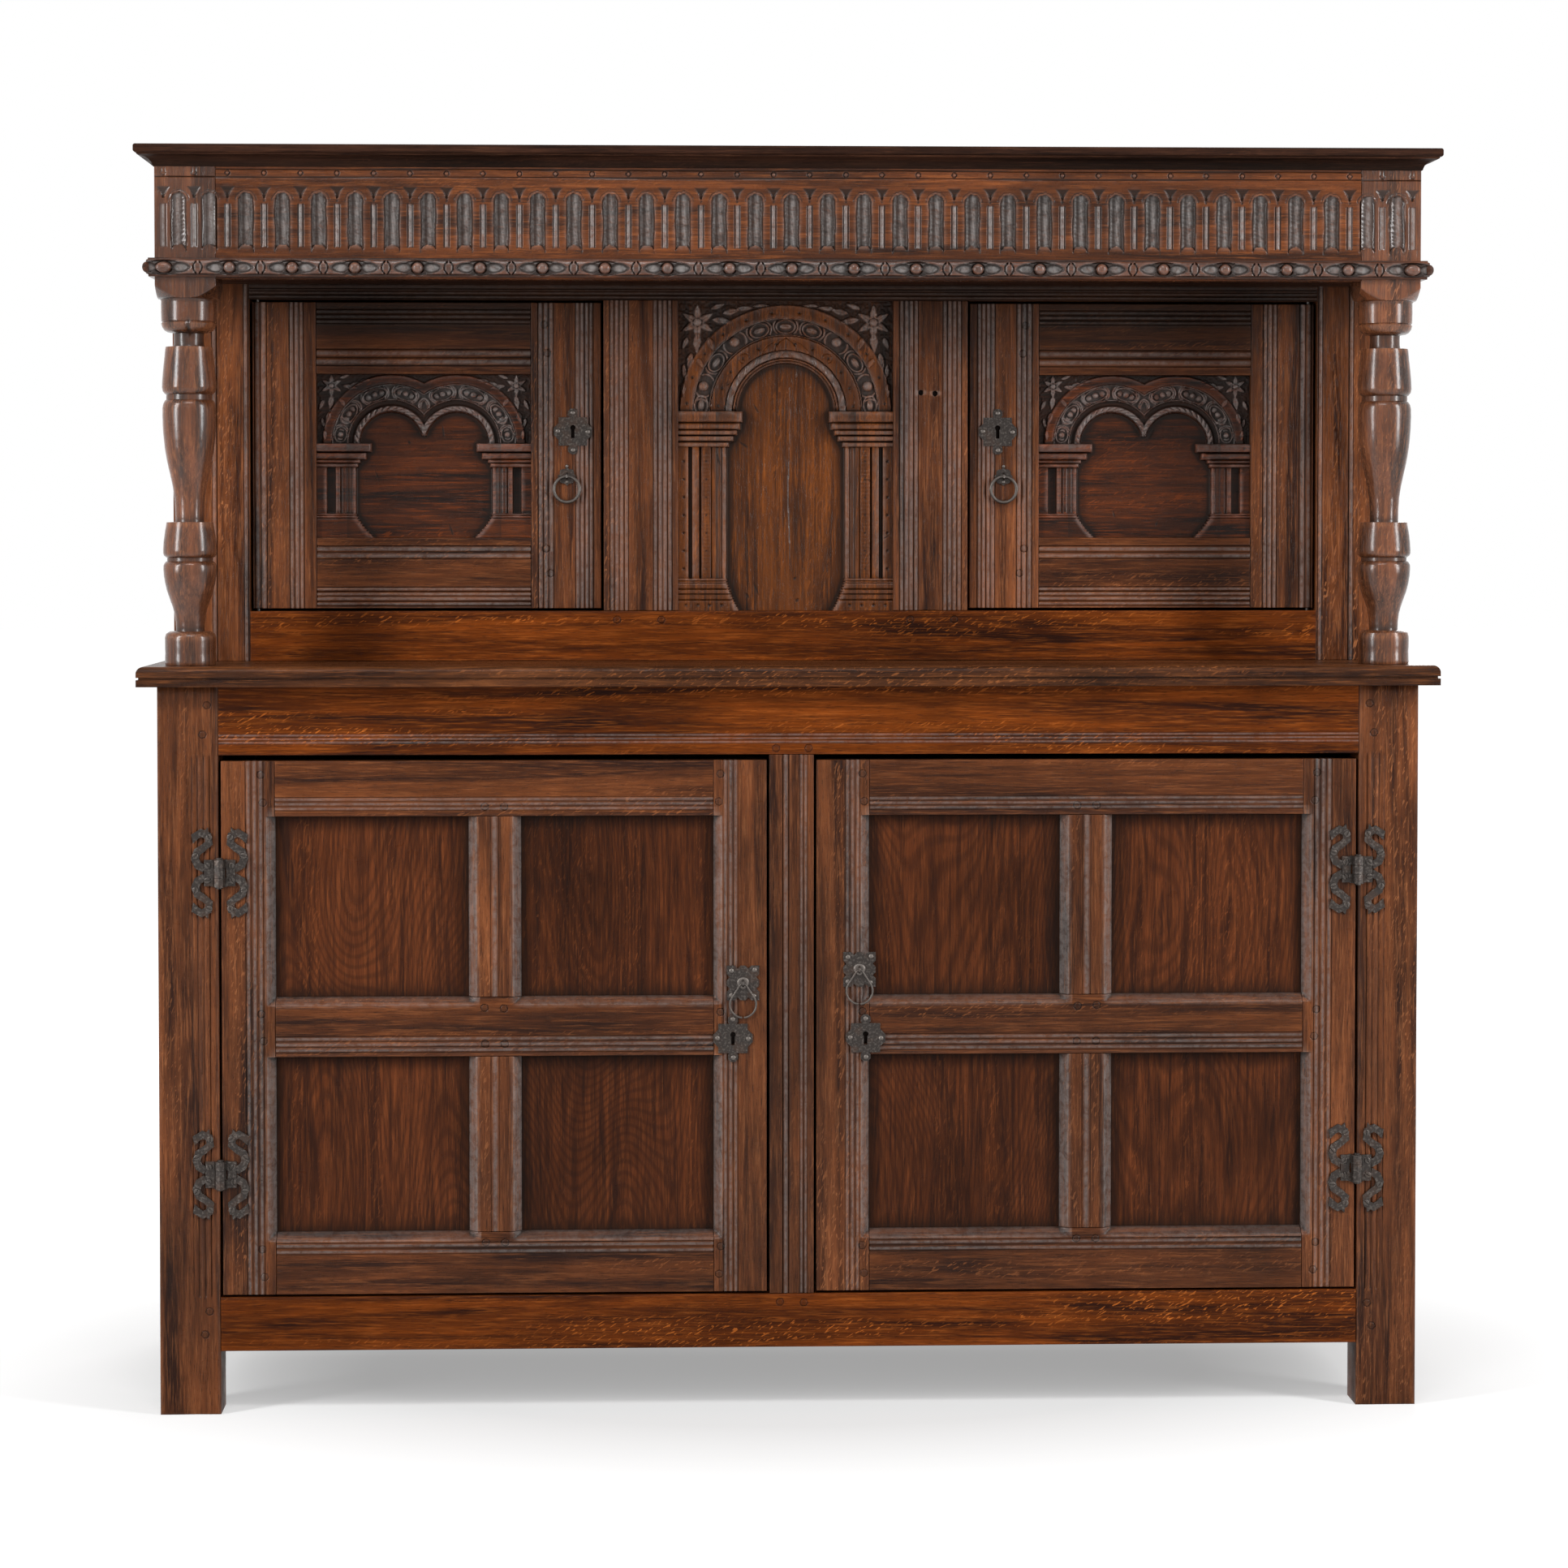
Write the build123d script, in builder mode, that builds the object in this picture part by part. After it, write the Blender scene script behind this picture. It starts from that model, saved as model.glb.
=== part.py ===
from build123d import *
import os
from math import atan2, cos, degrees, radians, sin

# A joined oak court cupboard. Millimetres; X to the right, Y to the back, Z up.
# The origin is on the floor at the middle of the overall width and depth.

# Overall sizes
CASE_WIDTH = 1632.0
CASE_DEPTH = 540.0
OVERHANG = 24.0  # shelf and cornice stand this far past the case, front and sides
CASE_HEIGHT = 942.0  # floor to the top of the lower case
SHELF_THICK = 26.0
COLUMN_SPACE = 497.0  # shelf to the underside of the frieze
FRIEZE_HEIGHT = 159.0
TOP_THICK = 11.0

HALF = CASE_WIDTH / 2
FRONT = -(CASE_DEPTH + OVERHANG) / 2 + OVERHANG
BACK = FRONT + CASE_DEPTH
SHELF_TOP = CASE_HEIGHT + SHELF_THICK
FRIEZE_Z = SHELF_TOP + COLUMN_SPACE
CORNICE_TOP = FRIEZE_Z + FRIEZE_HEIGHT
TOP_Z = CORNICE_TOP + TOP_THICK

# Joinery
TENON_THICK = 10.0
TENON_LONG = 30.0
TENON_SHOULDER = 10.0
TENON_SET = 12.0  # face of the frame to the tenon's front cheek
MORTISE_SPARE = 2.0
TONGUE = 8.0  # how far a panel's edge goes into its groove
GROOVE_SPARE = 1.0

REED_DEEP = 1.6
BEAD_DEEP = 2.5

# Lower case
POST_WIDE = 78.0
POST_DEEP = 60.0
FRAME_THICK = 32.0
FOOT = 82.0  # floor to the underside of the bottom rail
BOTTOM_RAIL = 70.0
TOP_RAIL = 89.0
MUNTIN_WIDE = 58.0
SIDE_THICK = 26.0
SIDE_MUNTIN = 68.0
PANEL_THICK = 10.0
PANEL_SET = 14.0
BACK_RAIL = 70.0
BACK_BOARD = 14.0
BACK_LAP = 14.0
FLOOR_BOARD = 20.0
FLOOR_RISE = 8.0  # the floor stands above the bottom rail and stops the doors
BEARER = 30.0

RAIL_Z = FOOT + BOTTOM_RAIL
LINTEL_Z = CASE_HEIGHT - TOP_RAIL
POST_IN = HALF - POST_WIDE
FRAME_BACK = FRONT + FRAME_THICK
BACK_POST = BACK - POST_DEEP

# Lower doors
DOOR_GAP = 3.0
DOOR_HEAD_GAP = 7.0
STOP_GAP = 0.3
DOOR_STILE = 69.0
DOOR_MUNTIN = 68.0
DOOR_TOP_RAIL = 72.0
DOOR_MID_RAIL = 77.0
DOOR_LOW_RAIL = 80.0
DOOR_UPPER_PANEL = 234.0
BEVEL = 11.0
BEVEL_DEEP = 11.0
HINGE_RISE = 157.0  # the door's sill to its lower hinge
HINGE_DROP = 144.0  # its head to its upper hinge

DOOR_THICK = FRAME_THICK - STOP_GAP
DOOR_LEFT = -POST_IN + DOOR_GAP
DOOR_RIGHT = -MUNTIN_WIDE / 2 - DOOR_GAP
DOOR_BOTTOM = RAIL_Z + DOOR_GAP
DOOR_TOP = LINTEL_Z - DOOR_HEAD_GAP
HINGE_HEIGHTS = (DOOR_BOTTOM + HINGE_RISE, DOOR_TOP - HINGE_DROP)

# Upper case, set back behind the columns
RECESS = 190.0
UPPER_THICK = 36.0
UPPER_STILE = 101.0
UPPER_MUNTIN = 100.0
ARCADE_WIDE = 288.0
UPPER_BOTTOM_RAIL = 67.0
UPPER_OPENING = 415.0
UPPER_TOP_RAIL = 90.0

UPPER_FRONT = FRONT + RECESS
UPPER_STILE_IN = HALF - UPPER_STILE
MUNTIN_IN = ARCADE_WIDE / 2
MUNTIN_OUT = MUNTIN_IN + UPPER_MUNTIN
OPENING_Z = SHELF_TOP + UPPER_BOTTOM_RAIL
OPENING_TOP = OPENING_Z + UPPER_OPENING

# Upper doors
UPPER_DOOR_SET = 10.0
UPPER_DOOR_THICK = 28.0
UPPER_HANG_STILE = 85.0
UPPER_LOCK_STILE = 94.0
UPPER_DOOR_TOP = 96.0
UPPER_DOOR_LOW = 95.0
PIVOT_RADIUS = 3.0
PIVOT_INSET = 6.5  # axis to the door's face and to its edge
PIVOT_DEEP = 20.0
RUNNING_FIT = 0.05

UPPER_DOOR_FACE = UPPER_FRONT + UPPER_DOOR_SET
UPPER_DOOR_LEFT = -UPPER_STILE_IN + DOOR_GAP
UPPER_DOOR_RIGHT = -MUNTIN_OUT - DOOR_GAP
UPPER_DOOR_Z = OPENING_Z + DOOR_GAP
UPPER_DOOR_HEAD = OPENING_TOP - DOOR_GAP
PIVOT_X = UPPER_DOOR_LEFT + PIVOT_INSET
PIVOT_Y = UPPER_DOOR_FACE + PIVOT_INSET

# Frieze, cornice and columns
FRIEZE_THICK = 28.0
SIDE_FRIEZE_THICK = 26.0
BLOCK = 78.0
BEAD_HIGH = 24.0
BEAD_PROUD = 12.0
SOFFIT_THICK = 12.0
SOFFIT_RISE = 5.0
FLUTE_COUNT = 35
FLUTE_PITCH = CASE_WIDTH / FLUTE_COUNT
FLUTE_WIDE = 20.5
FLUTE_HIGH = 76.0
FLUTE_DEEP = 5.0
FLUTE_RISE = 8.0  # bead moulding to the foot of a flute
BOSS_COUNT = 21
BOSS_PITCH = CASE_WIDTH / (BOSS_COUNT - 0.6)
BOSS_RADIUS = 7.5
BOSS_PROUD = 2.5
BOSS_SIDES = 6
COLUMN_X = HALF - BLOCK / 2
COLUMN_Y = FRONT + BLOCK / 2
COLUMN_PIN = 11.0
COLUMN_PIN_LONG = 15.0

# Ironwork
LEAF_THICK = 2.5
KNUCKLE_RADIUS = 7.5
KNUCKLE_HIGH = 12.0
KNUCKLE_GAP = 0.3
KNUCKLE_SIDES = 8  # hammered to flats
KNUCKLE_SET = 7.6
HINGE_PIN = 2.5
PLATE_THICK = 1.5
WIRE = 1.5
STAPLE_WIRE = 1.25
STAPLE_BEND = 4.0
STAPLE_LONG = 14.0
STAPLE_RUN = 2.6  # straight part past the middle of what hangs in it
STAPLE_NOSE = 4.8
HANG_GAP = 0.4
WIRE_SIDES = 6  # wire and rings are forged, with worn flats
RING_WIRE = 2.2
HANDLE_OUT = PLATE_THICK + WIRE + 0.5  # door face to the middle of a hanging drop
RING_OUT = PLATE_THICK + RING_WIRE + 0.5  # and of a hanging ring
RING_BEND = 17.2
BOLT_HIGH = 14.0
BOLT_THICK = 6.0
BOLT_LONG = 60.0
BOLT_GAP = 0.2
LOCK_WIDE = 84.0
LOCK_HIGH = 76.0
LOCK_DEEP = 14.0
LOCK_INSET = 2.0

os.makedirs("parts", exist_ok=True)


def face(y):
    """A plane that faces the front at depth y: its own x runs right and its own y runs up."""
    return Plane(origin=(0, y, 0), x_dir=(1, 0, 0), z_dir=(0, -1, 0))


CASE_FACE = face(FRONT)
UPPER_FACE = face(UPPER_FRONT)
UPPER_DOOR_PLANE = face(UPPER_DOOR_FACE)
LEFT_SIDE = Plane(origin=(-HALF, 0, 0), x_dir=(0, -1, 0), z_dir=(-1, 0, 0))


def save(piece, label):
    """Names a finished piece and writes it."""
    piece.part.label = label
    export_step(piece.part, f"parts/{label}.step")


def save_pair(piece, left_label, right_label):
    """Writes a left-hand piece and its mirror image."""
    with BuildPart() as other:
        mirror(piece.part, about=Plane.YZ)
    save(piece, left_label)
    save(other, right_label)


def board(plane, x0, x1, z0, z1, front, back):
    """A squared board between two depths behind a face plane."""
    with BuildPart() as piece:
        with BuildSketch(plane.offset(-front)):
            with Locations(((x0 + x1) / 2, (z0 + z1) / 2)):
                Rectangle(x1 - x0, z1 - z0)
        extrude(amount=front - back)
    return piece.part


def rail_tenons(plane, x0, x1, z0, z1, spare=0.0):
    """The tenons at both ends of a rail, or with some spare the mortises for them."""
    reach = TENON_LONG + spare
    low, high = z0 + TENON_SHOULDER, z1 - TENON_SHOULDER
    depths = (TENON_SET, TENON_SET + TENON_THICK)
    ends = ((x0 - reach, x0), (x1, x1 + reach))
    return [board(plane, start, end, low, high, *depths) for start, end in ends]


def rail_mortises(plane, x0, x1, rows):
    """The mortises for the rails that stand at several heights between the same two uprights."""
    return [cut for z0, z1 in rows for cut in rail_tenons(plane, x0, x1, z0, z1, MORTISE_SPARE)]


def post_tenons(plane, x0, x1, z0, z1, spare=0.0):
    """The tenons at the head and foot of an upright, or the mortises for them."""
    reach = TENON_LONG + spare
    low, high = x0 + TENON_SHOULDER, x1 - TENON_SHOULDER
    depths = (TENON_SET, TENON_SET + TENON_THICK)
    ends = ((z0 - reach, z0), (z1, z1 + reach))
    return [board(plane, low, high, start, end, *depths) for start, end in ends]


def panel_board(plane, x0, x1, z0, z1, spare=0.0, depth=PANEL_SET, thick=PANEL_THICK):
    """A panel with its edges in the grooves, or with some spare the grooves themselves."""
    edge = TONGUE + spare
    return board(plane, x0 - edge, x1 + edge, z0 - edge, z1 + edge, depth, depth + thick)


def panel_bevel(plane, x0, x1, z0, z1):
    """The bevel worked on the sides and sill of a panel opening; it dies square under the head."""
    with BuildPart() as cut:
        with BuildSketch(plane):
            with Locations(((x0 + x1) / 2, (z0 - BEVEL + z1) / 2)):
                Rectangle(x1 - x0 + 2 * BEVEL, z1 - z0 + BEVEL)
        with BuildSketch(plane.offset(-BEVEL_DEEP)):
            with Locations(((x0 + x1) / 2, (z0 + z1) / 2)):
                Rectangle(x1 - x0, z1 - z0)
        loft()
    return cut.part


def reeds(plane, x0, z0, x1, z1, width, count, depth=REED_DEEP):
    """The cutter of a run of reeds, worked from (x0, z0) to (x1, z1) and spread to the right of it."""
    start = plane.from_local_coords(Vector(x0, z0, 0))
    end = plane.from_local_coords(Vector(x1, z1, 0))
    across = Plane(origin=start, x_dir=plane.z_dir, z_dir=end - start)
    step = width / count
    crown = -0.2
    ridges = []
    for i in range(count):
        ridges += [(-depth, i * step), (crown, (i + 0.3) * step), (crown, (i + 0.7) * step)]
    with BuildPart() as cut:
        with BuildSketch(across):
            with BuildLine():
                Polyline(*ridges, (-depth, width), (1, width), (1, 0), close=True)
            make_face()
        extrude(amount=(end - start).length)
    return cut.part


def upright_reeds(plane, x, z0, z1, width, count, depth=REED_DEEP):
    """Reeds worked up a stile, spread to the right of x."""
    return reeds(plane, x, z0, x, z1, width, count, depth)


def rail_reeds(plane, x0, x1, z, width, count):
    """Reeds worked along a rail, spread down from z."""
    return reeds(plane, x0, z, x1, z, width, count)


def framed(solid, plus=(), minus=()):
    """A member with its tenons added and its mortises, grooves and mouldings cut."""
    with BuildPart() as piece:
        add(solid)
        for extra in plus:
            add(extra)
        for cut in minus:
            add(cut, mode=Mode.SUBTRACT)
    return piece


def together(pieces):
    """Several separate pieces kept in one group."""
    return Compound(children=[solid for piece in pieces for solid in piece.part.solids()])


def save_group(pieces, label):
    """Writes a group of separate pieces."""
    group = together(pieces)
    group.label = label
    export_step(group, f"parts/{label}.step")


def mirrored(piece):
    """The right-hand copy of a left-hand piece."""
    with BuildPart() as other:
        mirror(piece.part, about=Plane.YZ)
    return other


# Lower case: joined frame -------------------------------------------------------------
DOOR_LOWER_PANEL = DOOR_TOP - DOOR_BOTTOM - DOOR_TOP_RAIL - DOOR_MID_RAIL - DOOR_LOW_RAIL - DOOR_UPPER_PANEL
LOW_PANEL_Z = DOOR_BOTTOM + DOOR_LOW_RAIL
MID_Z = LOW_PANEL_Z + DOOR_LOWER_PANEL
HIGH_PANEL_Z = MID_Z + DOOR_MID_RAIL
HIGH_PANEL_TOP = HIGH_PANEL_Z + DOOR_UPPER_PANEL

POST_MOULD = 24.0
POST_MOULD_SET = 11.0
RAIL_MOULD = 14.0
RAIL_MOULD_SET = 14.0
MUNTIN_BEAD = 9.0
MUNTIN_BEAD_SET = 12.0  # left of the muntin's middle
MUNTIN_MOULD = 11.0
MUNTIN_MOULD_SET = 10.0  # right of it

BACK_RAIL_FACE = CASE_FACE.offset(-(CASE_DEPTH - BACK_BOARD - FRAME_THICK))
SIDE_BACK = -BACK_POST
SIDE_FRONT = -(FRONT + POST_DEEP)
SIDE_MID = (SIDE_BACK + SIDE_FRONT) / 2
FLOOR_TOP = RAIL_Z + FLOOR_RISE
BACK_RAIL_Y = BACK - BACK_BOARD - FRAME_THICK

front_rails = {"lower_bottom_rail": (FOOT, RAIL_Z), "lower_top_rail": (LINTEL_Z, CASE_HEIGHT)}
side_rails = ((FOOT, RAIL_Z), (MID_Z, HIGH_PANEL_Z), (LINTEL_Z, CASE_HEIGHT))
side_bays = ((RAIL_Z, MID_Z), (HIGH_PANEL_Z, LINTEL_Z))
side_columns = ((SIDE_BACK, SIDE_MID - SIDE_MUNTIN / 2), (SIDE_MID + SIDE_MUNTIN / 2, SIDE_FRONT))
back_rails = ((FOOT, FOOT + BACK_RAIL), (CASE_HEIGHT - BACK_RAIL, CASE_HEIGHT))
side_panels = [(x0, x1, z0, z1) for z0, z1 in side_bays for x0, x1 in side_columns]

front_mortises = rail_mortises(CASE_FACE, -POST_IN, POST_IN, front_rails.values())
side_mortises = rail_mortises(LEFT_SIDE, SIDE_BACK, SIDE_FRONT, side_rails)
back_mortises = rail_mortises(BACK_RAIL_FACE, -POST_IN, POST_IN, back_rails)
side_grooves = [panel_board(LEFT_SIDE, *bay, spare=GROOVE_SPARE) for bay in side_panels]
back_reach = POST_IN + BACK_LAP
back_depths = (CASE_DEPTH - BACK_BOARD, CASE_DEPTH)
back_lap = board(CASE_FACE, -back_reach, back_reach, FOOT, CASE_HEIGHT, *back_depths)
post_mould = upright_reeds(CASE_FACE, -POST_IN - POST_MOULD_SET - POST_MOULD, RAIL_Z, LINTEL_Z, POST_MOULD, 4)

front_post = framed(
    board(CASE_FACE, -HALF, -POST_IN, 0, CASE_HEIGHT, 0, POST_DEEP),
    minus=front_mortises + side_mortises + side_grooves + [post_mould],
)
save_pair(front_post, "front_left_post", "front_right_post")

back_post = framed(
    board(CASE_FACE, -HALF, -POST_IN, 0, CASE_HEIGHT, CASE_DEPTH - POST_DEEP, CASE_DEPTH),
    minus=back_mortises + side_mortises + side_grooves + [back_lap],
)
save_pair(back_post, "back_left_post", "back_right_post")

muntin_mortises = post_tenons(CASE_FACE, -MUNTIN_WIDE / 2, MUNTIN_WIDE / 2, RAIL_Z, LINTEL_Z, MORTISE_SPARE)
lintel_mould = rail_reeds(CASE_FACE, -POST_IN, POST_IN, LINTEL_Z + RAIL_MOULD_SET + RAIL_MOULD, RAIL_MOULD, 3)
rail_moulds = {"lower_bottom_rail": [], "lower_top_rail": [lintel_mould]}
for rail_name, (z0, z1) in front_rails.items():
    rail = framed(
        board(CASE_FACE, -POST_IN, POST_IN, z0, z1, 0, FRAME_THICK),
        plus=rail_tenons(CASE_FACE, -POST_IN, POST_IN, z0, z1),
        minus=muntin_mortises + rail_moulds[rail_name],
    )
    save(rail, rail_name)

lower_muntin = framed(
    board(CASE_FACE, -MUNTIN_WIDE / 2, MUNTIN_WIDE / 2, RAIL_Z, LINTEL_Z, 0, FRAME_THICK),
    plus=post_tenons(CASE_FACE, -MUNTIN_WIDE / 2, MUNTIN_WIDE / 2, RAIL_Z, LINTEL_Z),
    minus=[
        upright_reeds(CASE_FACE, -MUNTIN_BEAD_SET, RAIL_Z, LINTEL_Z, MUNTIN_BEAD, 1, BEAD_DEEP),
        upright_reeds(CASE_FACE, MUNTIN_MOULD_SET, RAIL_Z, LINTEL_Z, MUNTIN_MOULD, 2),
    ],
)
save(lower_muntin, "lower_muntin")

# Sides: three rails, two muntins and four plain panels to each
muntin_bays = [(SIDE_MID - SIDE_MUNTIN / 2, SIDE_MID + SIDE_MUNTIN / 2, z0, z1) for z0, z1 in side_bays]
side_muntin_mortises = [
    cut for bay in muntin_bays for cut in post_tenons(LEFT_SIDE, *bay, spare=MORTISE_SPARE)
]
side_frame = []
for z0, z1 in side_rails:
    rail = framed(
        board(LEFT_SIDE, SIDE_BACK, SIDE_FRONT, z0, z1, 0, SIDE_THICK),
        plus=rail_tenons(LEFT_SIDE, SIDE_BACK, SIDE_FRONT, z0, z1),
        minus=side_muntin_mortises + side_grooves,
    )
    side_frame.append(rail)
for bay in muntin_bays:
    muntin = framed(
        board(LEFT_SIDE, *bay, 0, SIDE_THICK), plus=post_tenons(LEFT_SIDE, *bay), minus=side_grooves
    )
    side_frame.append(muntin)
side_boards = [framed(panel_board(LEFT_SIDE, *bay)) for bay in side_panels]
save_group(side_frame + [mirrored(piece) for piece in side_frame], "lower_side_frames")
save_group(side_boards + [mirrored(piece) for piece in side_boards], "lower_side_panels")

# Back: two rails, and boards laid across them in the rebates of the back posts
BACK_BOARDS = 3


def back_board_row(z0, z1):
    """Wide boards nailed across the back, one above another."""
    high = (z1 - z0) / BACK_BOARDS
    edges = [z0 + i * high for i in range(BACK_BOARDS + 1)]
    rows = zip(edges, edges[1:])
    return [framed(board(CASE_FACE, -back_reach, back_reach, low, top, *back_depths)) for low, top in rows]


def back_rail(z0, z1):
    """A rail between the back posts."""
    return framed(
        board(BACK_RAIL_FACE, -POST_IN, POST_IN, z0, z1, 0, FRAME_THICK),
        plus=rail_tenons(BACK_RAIL_FACE, -POST_IN, POST_IN, z0, z1),
    )


save_group([back_rail(z0, z1) for z0, z1 in back_rails] + back_board_row(FOOT, CASE_HEIGHT), "lower_back")

# Floor: boards on three bearers, notched round the posts
FLOOR_BOARDS = 4
SIDE_IN = HALF - SIDE_THICK
floor_under = FLOOR_TOP - FLOOR_BOARD
floor_pieces = []
for x0 in (-SIDE_IN, -BEARER / 2, SIDE_IN - BEARER):
    front_end = -SIDE_FRONT if abs(x0) > BEARER else FRAME_BACK
    rear_end = -SIDE_BACK if abs(x0) > BEARER else BACK_RAIL_Y
    bearer_depths = (front_end - FRONT, rear_end - FRONT)
    floor_pieces.append(
        framed(board(CASE_FACE, x0, x0 + BEARER, floor_under - BEARER, floor_under, *bearer_depths))
    )
post_corners = [
    board(CASE_FACE, x0, x1, floor_under, FLOOR_TOP, y0, y1)
    for x0, x1 in ((-HALF, -POST_IN), (POST_IN, HALF))
    for y0, y1 in ((0, POST_DEEP), (CASE_DEPTH - POST_DEEP, CASE_DEPTH))
]
floor_step = (BACK_RAIL_Y - FRAME_BACK) / FLOOR_BOARDS
for i in range(FLOOR_BOARDS):
    depth = FRAME_THICK + i * floor_step
    plank = board(CASE_FACE, -SIDE_IN, SIDE_IN, floor_under, FLOOR_TOP, depth, depth + floor_step)
    floor_pieces.append(framed(plank, minus=post_corners))
save_group(floor_pieces, "lower_floor")

# Shelf that caps the lower case: rounded upper arris, and a scratched line round the edge
SHELF_ROUND = 9.0
SHELF_LINE = 3.0
SHELF_LINE_Z = 9.0
HALF_TOP = HALF + OVERHANG
FRONT_EDGE = FRONT - OVERHANG


def edge_line(z):
    """A square groove run along the front edge and both ends of the shelf."""
    with BuildPart() as line:
        with BuildSketch(Plane.XY.offset(z)):
            with Locations((0, (FRONT_EDGE + BACK) / 2)):
                Rectangle(2 * HALF_TOP + 2, BACK - FRONT_EDGE + 2)
            with Locations((0, (FRONT_EDGE + SHELF_LINE + BACK + 2) / 2)):
                Rectangle(2 * (HALF_TOP - SHELF_LINE), BACK + 2 - FRONT_EDGE - SHELF_LINE, mode=Mode.SUBTRACT)
        extrude(amount=SHELF_LINE)
    return line.part


shelf_line = edge_line(CASE_HEIGHT + SHELF_LINE_Z)
with BuildPart() as shelf:
    with BuildSketch(Plane.XY.offset(CASE_HEIGHT)):
        with Locations((0, (FRONT_EDGE + BACK) / 2)):
            Rectangle(2 * HALF_TOP, BACK - FRONT_EDGE)
    extrude(amount=SHELF_THICK)
    upper_edges = shelf.faces().sort_by(Axis.Z)[-1].edges()
    fillet(upper_edges.sort_by(Axis.Y)[:-1], SHELF_ROUND)
    add(shelf_line, mode=Mode.SUBTRACT)
    with BuildSketch(Plane.XY.offset(SHELF_TOP)):
        with Locations((-COLUMN_X, COLUMN_Y), (COLUMN_X, COLUMN_Y)):
            Circle(COLUMN_PIN)
    extrude(amount=-COLUMN_PIN_LONG, mode=Mode.SUBTRACT)
save(shelf, "shelf")


# Upper case ---------------------------------------------------------------------------
UPPER_SIDE_BACK = -BACK_POST
UPPER_SIDE_FRONT = -(UPPER_FRONT + UPPER_THICK)
upper_front_rails = {
    "upper_bottom_rail": (SHELF_TOP, OPENING_Z),
    "upper_top_rail": (OPENING_TOP, OPENING_TOP + UPPER_TOP_RAIL),
}
upper_side_rails = ((SHELF_TOP, OPENING_Z), (FRIEZE_Z, CORNICE_TOP))
upper_side_bay = (UPPER_SIDE_BACK, UPPER_SIDE_FRONT, OPENING_Z, FRIEZE_Z)
upper_back_rail = (CORNICE_TOP - BACK_RAIL, CORNICE_TOP)

upper_mortises = rail_mortises(UPPER_FACE, -UPPER_STILE_IN, UPPER_STILE_IN, upper_front_rails.values())
upper_side_mortises = rail_mortises(LEFT_SIDE, UPPER_SIDE_BACK, UPPER_SIDE_FRONT, upper_side_rails)
upper_side_groove = panel_board(LEFT_SIDE, *upper_side_bay, spare=GROOVE_SPARE)
upper_muntin_places = ((-MUNTIN_OUT, -MUNTIN_IN), (MUNTIN_IN, MUNTIN_OUT))
upper_muntin_mortises = [
    cut
    for x0, x1 in upper_muntin_places
    for cut in post_tenons(UPPER_FACE, x0, x1, OPENING_Z, OPENING_TOP, MORTISE_SPARE)
]


def pivot_pins(spare=0.0):
    """The iron pins that the upper doors turn on, at the head and the sill of each door."""
    pins = []
    for x in (PIVOT_X, -PIVOT_X):
        for z0, z1 in ((OPENING_Z, UPPER_DOOR_Z), (UPPER_DOOR_HEAD, OPENING_TOP)):
            with BuildPart() as pin:
                with BuildSketch(Plane.XY.offset(z0 - PIVOT_DEEP)):
                    with Locations((x, PIVOT_Y)):
                        Circle(PIVOT_RADIUS + spare)
                extrude(amount=z1 - z0 + 2 * PIVOT_DEEP)
            pins.append(pin)
    return pins


pivots = pivot_pins()
pivot_cuts = [pin.part for pin in pivots]
running_cuts = [pin.part for pin in pivot_pins(RUNNING_FIT)]
save_group(pivots, "upper_door_pivots")

STILE_BEAD = 7.0
STILE_BEAD_SET = 43.0
upper_stile = framed(
    board(UPPER_FACE, -HALF, -UPPER_STILE_IN, SHELF_TOP, CORNICE_TOP, 0, UPPER_THICK),
    minus=upper_mortises
    + upper_side_mortises
    + [
        upper_side_groove,
        *[
            upright_reeds(UPPER_FACE, x - STILE_BEAD, OPENING_Z, OPENING_TOP, STILE_BEAD, 1, BEAD_DEEP)
            for x in (-UPPER_STILE_IN - STILE_BEAD_SET, -UPPER_STILE_IN)
        ],
    ],
)
save_group([upper_stile, mirrored(upper_stile)], "upper_stiles")

# The arcade panel sits in grooves, so its cutters are shared by the muntins and rails
ARCADE_SET = 8.0
ARCADE_THICK = 18.0
ARCADE_TONGUE_SET = 16.0
ARCADE_TONGUE = 8.0
arcade_bay = (-MUNTIN_IN, MUNTIN_IN, OPENING_Z, OPENING_TOP)
arcade_groove = panel_board(UPPER_FACE, *arcade_bay, GROOVE_SPARE, ARCADE_TONGUE_SET, ARCADE_TONGUE)

MUNTIN_REEDS = 26.0
MUNTIN_REED_SET = 8.0
upper_muntin = framed(
    board(UPPER_FACE, -MUNTIN_OUT, -MUNTIN_IN, OPENING_Z, OPENING_TOP, 0, UPPER_THICK),
    plus=post_tenons(UPPER_FACE, -MUNTIN_OUT, -MUNTIN_IN, OPENING_Z, OPENING_TOP),
    minus=[
        arcade_groove,
        *[
            upright_reeds(UPPER_FACE, x, OPENING_Z, OPENING_TOP, MUNTIN_REEDS, 4)
            for x in (-MUNTIN_OUT + MUNTIN_REED_SET, -MUNTIN_IN - MUNTIN_REED_SET - MUNTIN_REEDS)
        ],
    ],
)
save_group([upper_muntin, mirrored(upper_muntin)], "upper_muntins")

for rail_name, (z0, z1) in upper_front_rails.items():
    rail = framed(
        board(UPPER_FACE, -UPPER_STILE_IN, UPPER_STILE_IN, z0, z1, 0, UPPER_THICK),
        plus=rail_tenons(UPPER_FACE, -UPPER_STILE_IN, UPPER_STILE_IN, z0, z1),
        minus=upper_muntin_mortises + [arcade_groove] + pivot_cuts,
    )
    save(rail, rail_name)

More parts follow.
